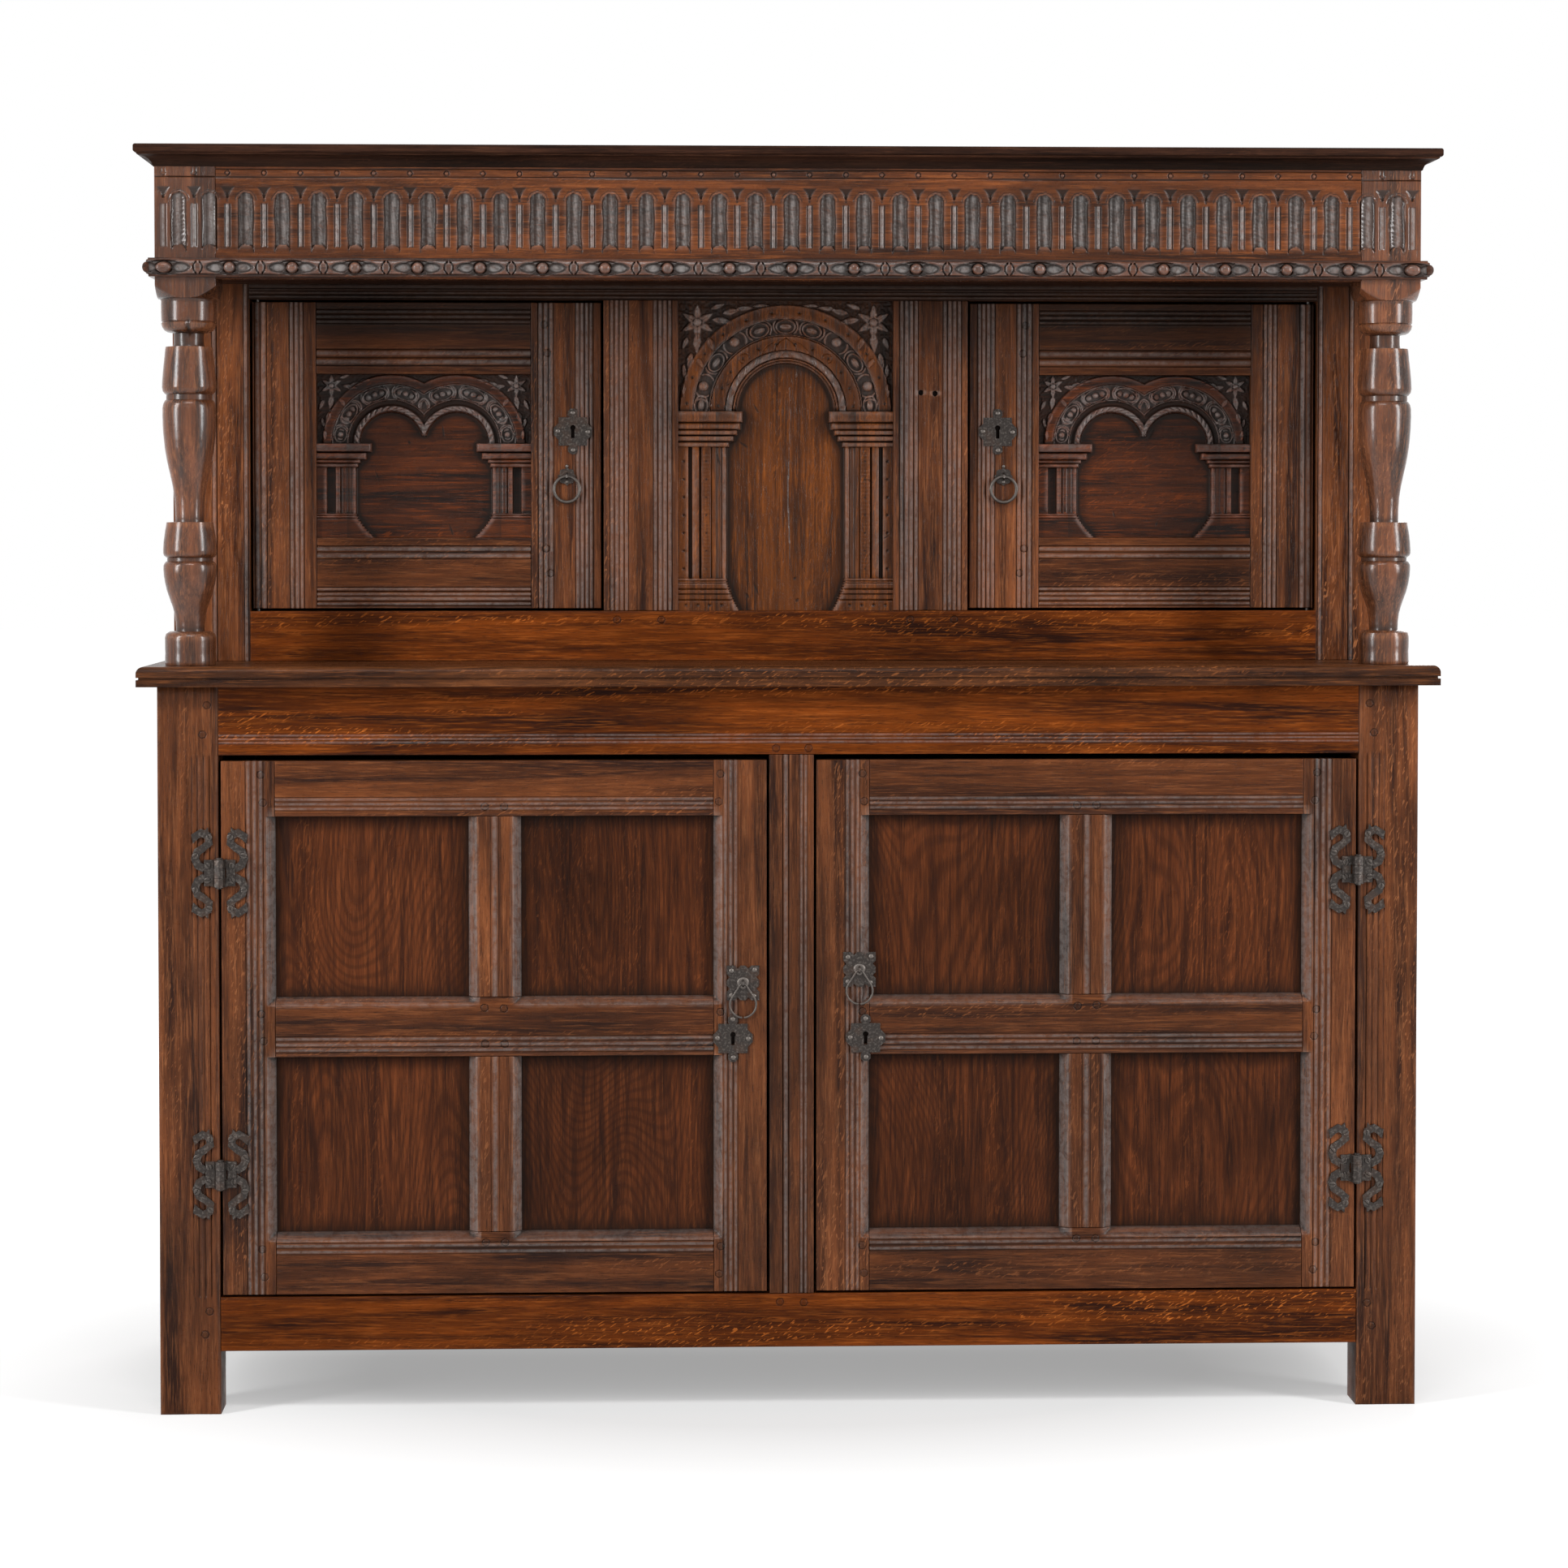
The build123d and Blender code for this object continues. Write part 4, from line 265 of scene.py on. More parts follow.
# a darker oak for the cornice, soffit and top board: their own colour darkened with painted shade from under
# the top's overhang
DARK_OAK = oak("oak_dark", "X", (58, 35, 25), (90, 57, 40), (24, 13, 9), 0.2, 0.48, 0.0, 0.18)
SHELF_OAK = oak("oak_shelf", "X", (90, 52, 28), (146, 88, 48), (36, 18, 10), 0.5, 0.3, 0.15)
CARVED_OAK = oak("oak_carved", "X", (72, 38, 20), (126, 69, 37), (34, 17, 9), 0.2, 0.24, 1.4, 0.5)
CENTRE_OAK = oak("oak_centre", "Z", (90, 47, 17), (146, 80, 30), (34, 16, 7), 0.25, 0.26, 0.2, 0.4)
DOOR_OAK = oak("oak_door_arch", "X", (80, 39, 18), (134, 64, 24), (26, 13, 8), 0.3, 0.25, 0.25, 0.4)
FRIEZE_OAK = oak("oak_frieze", "X", (104, 56, 28), (152, 88, 46), (44, 22, 11), 0.15, 0.25, 0.45, 0.45)
COLUMN_OAK = oak("oak_column", "Z", (104, 61, 39), (150, 95, 61), (46, 26, 16), 0.35, 0.22, 2.2, 0.45)
RAW_OAK = oak("oak_raw_X", "X", (104, 80, 58), (134, 106, 78), (64, 47, 33), 0.3, 0.75, 0.0)
IRON = iron("iron", (0.026, 0.020, 0.017), (0.17, 0.147, 0.13))
STEEL = iron("rubbed_iron", (0.05, 0.045, 0.042), (0.18, 0.168, 0.156))

# The finish of each CAD node: the case's by name, the doors' by the last word of the name
FRAME_NODES = (
    "back_left_post", "back_right_post", "front_left_post", "front_right_post", "columns", "lower_muntin",
    "upper_back_posts", "upper_muntins", "upper_stiles",
)
RAW_NODES = ("lower_back", "upper_back", "lower_floor")
CASE_FINISHES = (
    (FRAME_OAK["X"], ("upper_top_rail",)),
    (FRAME_OAK["Y"], ("frieze_sides", "lower_side_frames", "upper_side_rails")),
    (FRAME_OAK["Z"], FRAME_NODES),
    (WARM_OAK["X"], ("bead_moulding", "frieze", "lower_bottom_rail", "lower_top_rail", "upper_bottom_rail")),
    (WARM_OAK["Z"], ("centre_arcade",)),
    (DARK_OAK, ("cornice_moulding", "soffit", "top_board")),
    (PANEL_OAK, ("lower_side_panels", "upper_side_panels")),
    (RAW_OAK, RAW_NODES),
    (SHELF_OAK, ("shelf",)),
    (IRON, ("lower_hinge_post_leaves",)),
    (STEEL, ("upper_door_pivots",)),
)
CASE_FINISH = {node: finish for finish, nodes in CASE_FINISHES for node in nodes}
DOOR_FINISH = {
    "stiles": FRAME_OAK["Z"],
    "rails": FRAME_OAK["X"],
    "muntins": FRAME_OAK["Z"],
    "panels": PANEL_OAK,
    "arcade": DOOR_OAK,
    "ironwork": IRON,
    "bolt": STEEL,
    "drop": IRON,
    "ring": IRON,
}


# Boards with carved faces ---------------------------------------------------------------
# A Field is a grid of heights over a board's face, in millimetres. Boards are made from fields.
ARRIS = 1.1  # worn roundness of a board's edges
JOINT = 0.18  # half the dark line between two members
SIDE_GRIME_AND_SHADE, EDGE_WEAR = 0.15, 0.35  # grime and painted shade on a board's sides, and wear on its front edges
SHADE_DEPTH, SHADE_REACH = 1.6, 4.0  # the depth of a cut that is all grime and painted shade, and how far round it counts
BEVEL = 11.0  # width and depth of the bevel round a panel
BEVEL_LINES = (-11.5, -8, -4, -0.4, 0.4)  # where the extra grid lines at a mark lie from it
EDGE_LINES = (0.0, 0.3, 0.7)  # grid lines on a board's rounded edge


def axis_points(low, high, step, marks, dense):
    """Even grid lines, closer at both ends, near each mark and around each dense (middle, reach)."""
    first, last = low + 1.2, high - 1.2
    count = max(2, round((high - low - 2.4) / step))
    lines = list(np.linspace(first, last, count + 1))
    lines += [low + d for d in EDGE_LINES] + [high - d for d in EDGE_LINES]
    lines += [m + d for m in marks for d in BEVEL_LINES if low + 1.5 < m + d < high - 1.5]
    for middle, reach in dense:
        lines += [v for v in np.arange(middle - reach, middle + reach, 0.8) if first < v < last]
    lines = np.unique(np.round(lines, 3))
    return lines[np.concatenate([[True], np.diff(lines) > 0.2])]


def lattice(points, size, seed):
    """Smooth random numbers from -1 to 1 along and across a grid, one lump every size millimetres."""
    xs, zs = points
    rng = np.random.default_rng(int(seed))
    lump_x, lump_z = size
    columns = int((xs[-1] - xs[0]) / lump_x) + 4
    rows = int((zs[-1] - zs[0]) / lump_z) + 4
    values = rng.uniform(-1, 1, (rows, columns))
    fx = (xs - xs[0]) / lump_x + 0.5
    fz = (zs - zs[0]) / lump_z + 0.5
    ix, iz = fx.astype(int), fz.astype(int)
    sx, sz = fx - ix, fz - iz
    sx, sz = sx * sx * (3 - 2 * sx), sz * sz * (3 - 2 * sz)
    top = values[iz][:, ix] * (1 - sx) + values[iz][:, ix + 1] * sx
    low = values[iz + 1][:, ix] * (1 - sx) + values[iz + 1][:, ix + 1] * sx
    return top * (1 - sz)[:, None] + low * sz[:, None]


def blurred(values, reach):
    """A box blur, twice, over reach cells each way."""
    for axis, n in ((0, reach[1]), (1, reach[0])):
        n = max(1, min(n, values.shape[axis] // 2 - 1))
        for _ in range(2):
            pad = [(0, 0), (0, 0)]
            pad[axis] = (n + 1, n)
            total = np.cumsum(np.pad(values, pad, mode="edge"), axis=axis)
            high = np.take(total, range(2 * n + 1, total.shape[axis]), axis=axis)
            low = np.take(total, range(0, total.shape[axis] - 2 * n - 1), axis=axis)
            values = (high - low) / (2 * n + 1)
    return values


class Field:
    """Heights over a board's face; x runs right and z runs up, as seen from the front."""

    def __init__(self, x0, x1, z0, z1, step_x, step_z, marks_x=(), marks_z=(), dense_x=(), dense_z=()):
        self.box = (x0, x1, z0, z1)
        self.xs = axis_points(x0, x1, step_x, marks_x, dense_x)
        self.zs = axis_points(z0, z1, step_z, marks_z, dense_z)
        self.x, self.z = np.meshgrid(self.xs, self.zs)
        self.h = np.zeros_like(self.x)
        self.dark = np.zeros_like(self.x)
        self.painted_sheen = np.zeros_like(self.x)
        self.steps = (step_x, step_z)

    def near(self, x, z, reach):
        """The part of the grid within reach of a point."""
        i0, i1 = np.searchsorted(self.xs, (x - reach, x + reach))
        j0, j1 = np.searchsorted(self.zs, (z - reach, z + reach))
        return slice(j0, j1), slice(i0, i1)

    def rounded(self, radius=ARRIS):
        """Wears the four edges round."""
        x0, x1, z0, z1 = self.box
        edge = np.minimum(np.minimum(self.x - x0, x1 - self.x), np.minimum(self.z - z0, z1 - self.z))
        inset = np.clip(radius - edge, 0, radius)
        self.h -= radius - np.sqrt(np.maximum(radius**2 - inset**2, 0))
        return self

    def uneven(self, amount, size, seed):
        """The slow waves of an old planed face."""
        self.h += amount * lattice((self.xs, self.zs), size, seed)
        return self

    def shade(self):
        """(how hollow, how worn) each point is, from its height against that around it. The first, with the
        field's dark marks added, is grime and painted shade.
        """
        cells = [max(1, round(SHADE_REACH / step)) for step in self.steps]
        wide = [3 * n for n in cells]
        around = blurred(self.h, cells)
        hollow = np.clip((around - self.h) / SHADE_DEPTH, 0, 1)
        broad = np.clip((blurred(self.h, wide) - self.h) / (2.5 * SHADE_DEPTH), 0, 1)
        worn = np.clip((self.h - around) / SHADE_DEPTH - 0.12, 0, 1)
        return np.clip(0.75 * hollow + 0.4 * broad + self.dark, 0, 1), worn


def reeded(across, start, width, count, depth):
    """Heights of a run of reeds between start and start + width; zero outside it."""
    t = (across - start) / width
    cell = (t * count) % 1.0 * 2 - 1
    reed = depth * (np.sqrt(np.maximum(1 - 0.97 * cell**2, 0)) - 1)
    return np.where((t > 0) & (t < 1), reed - 0.15 * depth, 0.0)


def reeds(field, across, runs):
    """Cuts runs of reeds, with painted shade between the reeds and a painted sheen on their crests."""
    for start, width, count, depth in runs:
        cut = reeded(across, start, width, count, depth)
        within = (across > start) & (across < start + width)
        field.h += cut
        field.dark += 0.8 * np.clip(-cut / depth - 0.3, 0, 1) * within
        field.painted_sheen += 0.42 * np.clip(1 + 5 * (cut / depth + 0.15), 0, 1) * within


def groove(distance, wide, deep):
    """A round-bottomed cut by its distance from the middle of the cut."""
    return -deep * np.sqrt(np.maximum(1 - (2 * distance / wide) ** 2, 0))


def inside(value, low, high, soft=1.4):
    """1 between two limits and 0 outside them, softened at both."""
    return np.clip((value - low) / soft + 0.5, 0, 1) * np.clip((high - value) / soft + 0.5, 0, 1)


def lay(height, value, weight):
    """Lays a new height over the old one."""
    return height + (value - height) * weight


def dome(distance, radius, rise):
    """The height of a round dome."""
    return rise * np.sqrt(np.maximum(1 - (distance / radius) ** 2, 0))


def star(field, x, z, size=3.0, deep=1.5):
    """A star punch of six short rays, darkened with grime and painted shade."""
    part = field.near(x, z, size)
    dx, dz = field.x[part] - x, field.z[part] - z
    far = np.hypot(dx, dz)
    ray = np.cos(3 * np.arctan2(dz, dx)) ** 2
    mark = np.clip(1.25 - far / size, 0, 1) * np.maximum(ray, far < 1.2)
    field.h[part] -= deep * mark
    field.dark[part] += 0.8 * mark


def boss(field, x, z, radius, rise, moat):
    """A round button standing in a cut ring."""
    part = field.near(x, z, radius + 2 * moat)
    far = np.hypot(field.x[part] - x, field.z[part] - z)
    field.h[part] += groove(far - radius - moat / 2, 2 * moat, moat)
    button = np.maximum(field.h[part], 0) + dome(far, radius, rise)
    field.h[part] = np.where(far < radius, button, field.h[part])


def leaf(field, x, z, angle, length, width, rise, vein):
    """A carved leaf that grows from a point at an angle, with a cut vein."""
    turn = math.radians(angle)
    part = field.near(x, z, length + 2)
    dx, dz = field.x[part] - x, field.z[part] - z
    along = (dx * math.cos(turn) + dz * math.sin(turn)) / length
    across = -dx * math.sin(turn) + dz * math.cos(turn)
    half = width / 2 * np.sin(np.pi * np.clip(along, 0, 1) ** 0.8)
    within = (along > 0) & (along < 1) & (np.abs(across) < half)
    swell = rise * np.sqrt(np.maximum(1 - (across / np.maximum(half, 0.01)) ** 2, 0))
    swell -= vein * np.clip(1 - np.abs(across) / 0.8, 0, 1)
    field.h[part] = np.where(within, field.h[part] + swell, field.h[part])


class Pieces:
    """Collects boards and turned or bent parts as one mesh."""

    def __init__(self):
        self.points, self.quads, self.rims = [], [], []
        self.looks = {"shade_and_grime": [], "wear": [], "tone": [], "painted_sheen": []}
        self.count = 0

    def add(self, points, quads, shade_and_grime, wear, tone, painted_sheen=0.0):
        """Adds points and quads; each look is one number, or one for each point."""
        self.points.append(points)
        self.quads.append(quads + self.count)
        for layer, values in zip(self.looks.values(), (shade_and_grime, wear, tone, painted_sheen)):
            layer.append(np.broadcast_to(values, len(points)))
        self.count += len(points)

    def board(self, field, front, back, tone, place=None):
        """A board with a field for its face. place turns (x, height above front, z) into a point."""
        rows, columns = field.h.shape
        shade_and_grime, worn = field.shade()
        place = place or (lambda x, out, z: (x, front - out, z))
        face = np.stack(place(field.x, field.h, field.z), -1).reshape(-1, 3)
        index = np.arange(rows * columns).reshape(rows, columns)
        quads = np.stack([index[:-1, :-1], index[:-1, 1:], index[1:, 1:], index[1:, :-1]], -1).reshape(-1, 4)
        rim = np.concatenate([index[0, :-1], index[:-1, -1], index[-1, :0:-1], index[:0:-1, 0]])
        behind = np.zeros(len(rim))
        back_points = np.stack(place(field.x.ravel()[rim], behind + front - back, field.z.ravel()[rim]), -1)
        last = rows * columns + np.arange(len(rim))
        walls = np.stack([rim, last, np.roll(last, -1), np.roll(rim, -1)], -1)
        self.rims.append(last + self.count)
        # grime and painted shade on the sides; worn high places add painted sheen to the face's own
        shade_and_grime = np.concatenate([shade_and_grime.ravel(), behind + SIDE_GRIME_AND_SHADE])
        wear = np.concatenate([worn.ravel(), behind])
        wear[rim] = np.maximum(wear[rim], EDGE_WEAR)
        painted_sheen = np.concatenate([np.clip(field.painted_sheen + 0.3 * worn, 0, 1).ravel(), behind])
        points = np.concatenate([face, back_points])
        self.add(points, np.concatenate([quads, walls]), shade_and_grime, wear, tone, painted_sheen)

    def tube(self, grid, shade_and_grime, wear, tone=0.0, painted_sheen=0.0, flip=False, closed=False):
        """A skin over rings of points, capped at its ends unless closed; flip turns its faces round."""
        rings, sides = grid.shape[:2]
        index = np.arange(rings * sides).reshape(rings, sides)
        low = index if closed else index[:-1]
        high = np.roll(index, -1, axis=0) if closed else index[1:]
        quads = np.stack([low, high, np.roll(high, -1, axis=1), np.roll(low, -1, axis=1)], -1).reshape(-1, 4)
        caps = [] if closed else [index[0] + self.count, index[-1][::-1] + self.count]
        self.rims += caps[::-1] if flip else caps
        self.add(grid.reshape(-1, 3), quads[:, [0, 3, 2, 1]] if flip else quads, shade_and_grime, wear, tone, painted_sheen)

    def finish(self, name, material, body, slot, replaces=(), smooth=38.0):
        """Makes the object, which rides on a body and stands for CAD nodes."""
        points = np.concatenate(self.points) * MM
        quads = np.concatenate(self.quads)
        rims = [rim[::-1] for rim in self.rims]
        sizes = np.array([4] * len(quads) + [len(rim) for rim in rims])
        loops = np.concatenate([quads.ravel(), *rims])
        mesh = bpy.data.meshes.new(name)
        mesh.vertices.add(len(points))
        mesh.vertices.foreach_set("co", points.astype(np.float32).ravel())
        mesh.loops.add(len(loops))
        mesh.loops.foreach_set("vertex_index", loops.astype(np.int32))
        mesh.polygons.add(len(sizes))
        mesh.polygons.foreach_set("loop_start", (np.cumsum(sizes) - sizes).astype(np.int32))
        mesh.polygons.foreach_set("use_smooth", np.ones(len(sizes), bool))
        mesh.update(calc_edges=True)
        for look, values in self.looks.items():
            layer = mesh.attributes.new(look, "FLOAT", "POINT")
            layer.data.foreach_set("value", np.concatenate(values).astype(np.float32))
        mesh.set_sharp_from_angle(angle=math.radians(smooth))
        mesh.materials.append(material)
        made = bpy.data.objects.new(name, mesh)
        bpy.context.scene.collection.objects.link(made)
        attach(made, body)
        if replaces:
            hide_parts(*replaces)


def fit(name, material, body, nodes, boards, front, back, slot="oak_frame", smooth=38.0):
    """Boards of (field, tone) between one front and one back, as one piece that stands for CAD nodes."""
    made = Pieces()
    for field, tone in boards:
        made.board(field, front, back, tone)
    made.finish(name, material, body, slot, nodes, smooth)


# Frieze ---------------------------------------------------------------------------------
FLUTE_PITCH = 1632.0 / 35
FLUTE_HALF = 10.25
FLUTE_FOOT = 1499.0
FLUTE_SPRING = 1575.0 - FLUTE_HALF
END_FLUTE = 785.0  # middle of the flute on each column's head, across from the middle
HEAD_EDGE, END_STRIP = 757.5, 19.6  # where that flute's part begins, and its strips' distance from it


def frieze_spans(x):
    """(across from the nearest flute's middle, off the nearest strip's middle)."""
    u = (x + FLUTE_PITCH / 2) % FLUTE_PITCH - FLUTE_PITCH / 2
    m = FLUTE_PITCH / 2 - np.abs(u)
    end = np.abs(x) > HEAD_EDGE
    u = np.where(end, np.abs(x) - END_FLUTE, u)
    return u, np.where(end, END_STRIP - np.abs(u), m)


def frieze_look(x, z, cut):
    """(sheen, shade): painted highlights down each flute and along the strips between flutes, and painted
    shade in the cuts, darkest at each flute's sides.
    """
    u, m = frieze_spans(x)
    flute = inside(z, FLUTE_FOOT + 1, 1574.5, 2.0) * (cut < -0.5) * (np.abs(u) < FLUTE_HALF + 1)
    streak = np.exp(-(((u - 1.8) / 3.3) ** 2)) + 0.55 * np.exp(-(((u + 6.0) / 1.4) ** 2))
    broken = 0.82 + 0.18 * np.sin(z * 0.23 + x * 1.9)
    ridge = (np.abs(m) < 1.9) * inside(z, 1506, 1560, 1.0)
    painted_sheen = flute * streak * broken + 0.8 * ridge
    grime_and_shade = 0.95 * np.clip(-cut / 1.3, 0, 1) * (1 - ridge) - 0.9 * painted_sheen
    return painted_sheen, grime_and_shade


def frieze_height(x, z):
    """The carved frieze: round-headed flutes, thin strips between them and cut spandrels above."""
    u, m = frieze_spans(x)
    wobble = 0.35 * np.sin(z * 0.11 + x * 0.7)
    half = FLUTE_HALF + wobble
    head = np.where(z > FLUTE_SPRING, np.hypot(u, z - FLUTE_SPRING), np.abs(u))
    within = (head < half) & (z > FLUTE_FOOT - 1)
    hollow = 5.0 * np.sqrt(np.maximum(1 - (head / half) ** 2, 0))
    gouge = 0.32 * np.sin(z * 1.15 + u * 0.45 + 1.7 * np.sin(z * 0.21 + x * 0.05)) * (np.abs(u) < 8)
    tongue = np.hypot(u, (z - FLUTE_FOOT) * 0.95)
    stays = np.clip((half - 0.6 - tongue) / 1.2 + 0.5, 0, 1) * (z < FLUTE_FOOT + half)
    h = np.where(within, -(hollow + gouge) * (1 - stays), 0.0)
    h = np.where(within & (stays > 0.5), -0.6 * (tongue / half) ** 2, h)
    # strips midway between flutes
    strip = inside(z, 1505, 1561, 1.2)
    edge = np.abs(np.abs(m) - 3.0)
    h = h - strip * 1.7 * np.clip(1 - edge / 1.5, 0, 1)
    h = h + strip * 0.3 * np.clip(1 - np.abs(m) / 1.3, 0, 1)
    # spandrels that follow the flutes' heads
    far = np.hypot(FLUTE_PITCH / 2 - np.abs(m), z - FLUTE_SPRING)
    notch = inside(far, 22.5, 99, 1.0) * inside(z, 1568, 1582.5, 1.0) * (np.abs(m) < 11)
    h = h - notch * (0.9 + 2.4 * np.clip((1583 - z) / 14, 0, 1))
    h = h + groove(head - half - 3.0, 1.6, 0.9) * (z > FLUTE_SPRING) * (1 - notch) * (np.abs(u) < 20)
    # two scratched lines above
    for line in (1595.0, 1605.0):
        h = h + groove(z - line - 0.5 * np.sin(x * 0.012), 2.0, 1.4)
    dot = np.hypot(m, z - 1600)
    return h + groove(dot - 3.0, 1.8, 1.3) + dome(dot, 2.3, 1.2)


# Bead moulding --------------------------------------------------------------------------
BEAD_LOW, BEAD_TOP = 1467.0, 1491.0
BOSS_PITCH = 80.0


def bead_height(a, z):
    """The moulding under the frieze: a boss at each step, between scooped leaves in a long oval."""
    v = z - (BEAD_LOW + BEAD_TOP) / 2 + 0.3
    u = (a + BOSS_PITCH / 2) % BOSS_PITCH - BOSS_PITCH / 2
    side = np.abs(u)
    h = 12 - 0.03 * v**2
    h = lay(h, 7.0, inside(z, 1460, BEAD_LOW + 3.2, 0.7))
    h = lay(h, 7.5, inside(z, BEAD_TOP - 2.2, 1500, 0.7))
    oval = np.sqrt((side / 31.5) ** 2 + (v / 9.2) ** 2)
    h = h - 3.2 * inside(oval, -1, 0.98, 0.09) * inside(np.abs(v), -1, 9.0, 0.8)
    h = h + 2.4 * inside(oval, 0.84, 0.97, 0.06) * (side > 12)
    leaf_half = 6.6 * np.sqrt(np.clip(1 - ((side - 18.5) / 10.5) ** 2, 0, 1))
    scoop = np.sqrt(np.maximum(1 - (v / np.maximum(leaf_half, 0.1)) ** 2, 0)) * (leaf_half > 0.4)
    h = h - 2.6 * scoop
    ring = np.hypot(side - 49, v * 1.3)
    h = h + groove(ring - 14.6, 2.2, 3.2) * (side < 38.5)
    far = np.hypot(u, v)
    h = lay(h, 6.2, inside(far, 6.9, 8.4, 0.8))
    return np.where(far < 7.0, 8.8 + dome(far, 7.1, 5.2), h)


def bead_shine(field, a):
    """Painted highlights in the scooped leaves and on short strips beyond them, and painted shade in the sunk
    oval round them.
    """
    u = np.abs((a + BOSS_PITCH / 2) % BOSS_PITCH - BOSS_PITCH / 2)
    v = field.z - (BEAD_LOW + BEAD_TOP) / 2 + 0.3
    leafy = np.clip(1.05 - np.hypot((u - 18.5) / 9.0, v / 5.0), 0, 0.4) * 2.3
    field.painted_sheen = leafy + 0.7 * inside(u, 34.5, 37, 0.8) * inside(np.abs(v), -1, 7, 1.0)
    oval = inside(np.hypot(u / 31.5, v / 9.2), -1, 1.0, 0.1) * (np.hypot(u, v) > 7.2)
    field.dark += oval - 1.2 * leafy


# Arcades --------------------------------------------------------------------------------
# Millimetres from the panel's middle, up from its foot and out from an arch's centre.
GROUND, SPANDREL = -9.0, -3.4  # depths of the field under an arch and of the field over it
DOOR_HALF, DOOR_CENTRE, DOOR_SPRING, DOOR_BAND = 143.0, 43.7, 126.0, 68.6
TALL_HALF, TALL_SPRING, TALL_BAND = 144.0, 267.0, 113.5


def arch_frame(field, middle, foot, half, centre, spring):
    """Distances used by an arcade: from the panel's edge, up from its foot, and round the nearest arch."""
    across = field.x - middle
    up = field.z - foot
    way = np.where(across < 0, -1.0, 1.0)
    dx = -(across - way * centre) * way
    dz = up - spring
    return across, up, half - np.abs(across), np.hypot(dx, dz), np.degrees(np.arctan2(dz, dx))


def piers(h, p, up, pier, pier_top, strips, reeds_from, mouldings, toe, plinth_top, plinth_lines):
    """Lays the piers, imposts and plinths on the ground of an arcade."""
    body = inside(p, -99, pier, 1.3) * inside(up, plinth_top - 2, pier_top + 2, 1.0)
    value = reeded(p, reeds_from, pier - reeds_from, 3, 2.2)
    for start, end, deep in strips:
        value = value - deep * inside(p, start, end, 1.2)
    h = lay(h, value, body)
    for low, top, reach, proud in mouldings:
        t = (up - (low + top) / 2) / ((top - low) / 2)
        value = proud - 2.4 * (1 - np.sqrt(np.maximum(1 - 0.96 * t**2, 0)))
        value = value - 3.0 * np.clip((p - reach + 3.5) / 3.5, 0, 1) ** 2
        h = lay(h, value, inside(p, -99, reach, 1.4) * inside(up, low, top, 0.7))
    flare = pier + (toe - pier) * np.clip(1 - up / plinth_top, 0, 1) ** 1.35
    flare = flare + 0.9 * np.sin(up * 1.9) * np.clip(up / 6, 0, 1)
    value = np.full_like(h, 2.6)
    for line, wide, deep in plinth_lines:
        value = value + groove(up - line, wide, deep)
    return lay(h, value, inside(p - flare, -999, 0, 1.5) * inside(up, -99, plinth_top, 0.9))


def rope(r, angle, low, high, strands, lean):
    """A twisted roll round an arch."""
    middle, half = (low + high) / 2, (high - low) / 2
    v = (r - middle) / half
    twist = np.abs(np.sin(np.radians(angle) * strands + lean * v))
    return -2.6 + 3.0 * np.sqrt(np.maximum(1 - v**2, 0)) * (0.05 + 0.95 * twist**0.8)


def crescents(h, angle, v, middle, half, turns, strokes, spread, base, rise):
    """Pairs of curved strokes, as (half the gap, width), across a sunk band at each turn."""
    for turn in turns:
        s = np.abs(np.radians(angle - turn) * middle)
        for offset, wide in strokes:
            curve = np.abs(s - offset - spread * v**2)
            stroke = np.maximum(h, base + rise * np.clip(1.35 - curve / wide, 0, 1))
            h = np.where(np.abs(v) < half, stroke, h)
    return h


def door_band(r, angle):
    """The jewelled band: ovals with a boss and two lobes, with paired crescents between them."""
    h = np.full_like(r, -3.6)
    v = r - DOOR_BAND
    half, button = 8.6, 3.7
    for turn, long in ((170, 11), (145, 15.5), (109, 18.5), (74, 16.5)):
        s = np.radians(angle - turn) * DOOR_BAND
        oval = np.sqrt((s / long) ** 2 + (v / half) ** 2)
        h = lay(h, -0.2, inside(oval, 0.84, 1.02, 0.10))
        h = lay(h, -4.6, inside(oval, -1, 0.82, 0.10))
        for way in (-1, 1):
            lobe = np.hypot((s - way * long * 0.52) / (long * 0.26), v / (half * 0.55))
            h = np.where(lobe < 1, np.maximum(h, -4.4 + dome(lobe, 1.0, 3.2)), h)
        far = np.hypot(s, v)
        h = lay(h, -5.0, inside(far, button, button + 1.3, 0.8))
        h = np.where(far < button, -2.6 + dome(far, button, 3.6), h)
    breaks, strokes = (157.5, 126.5, 91, 57.5), ((2.3, 1.5), (5.0, 1.3))
    h = crescents(h, angle, v, DOOR_BAND, half, breaks, strokes, 0.055, -3.4, 2.8)
    return lay(h, -0.6, inside(r, 57.6, 59.2, 0.8) + inside(r, 77.6, 79.6, 0.8))


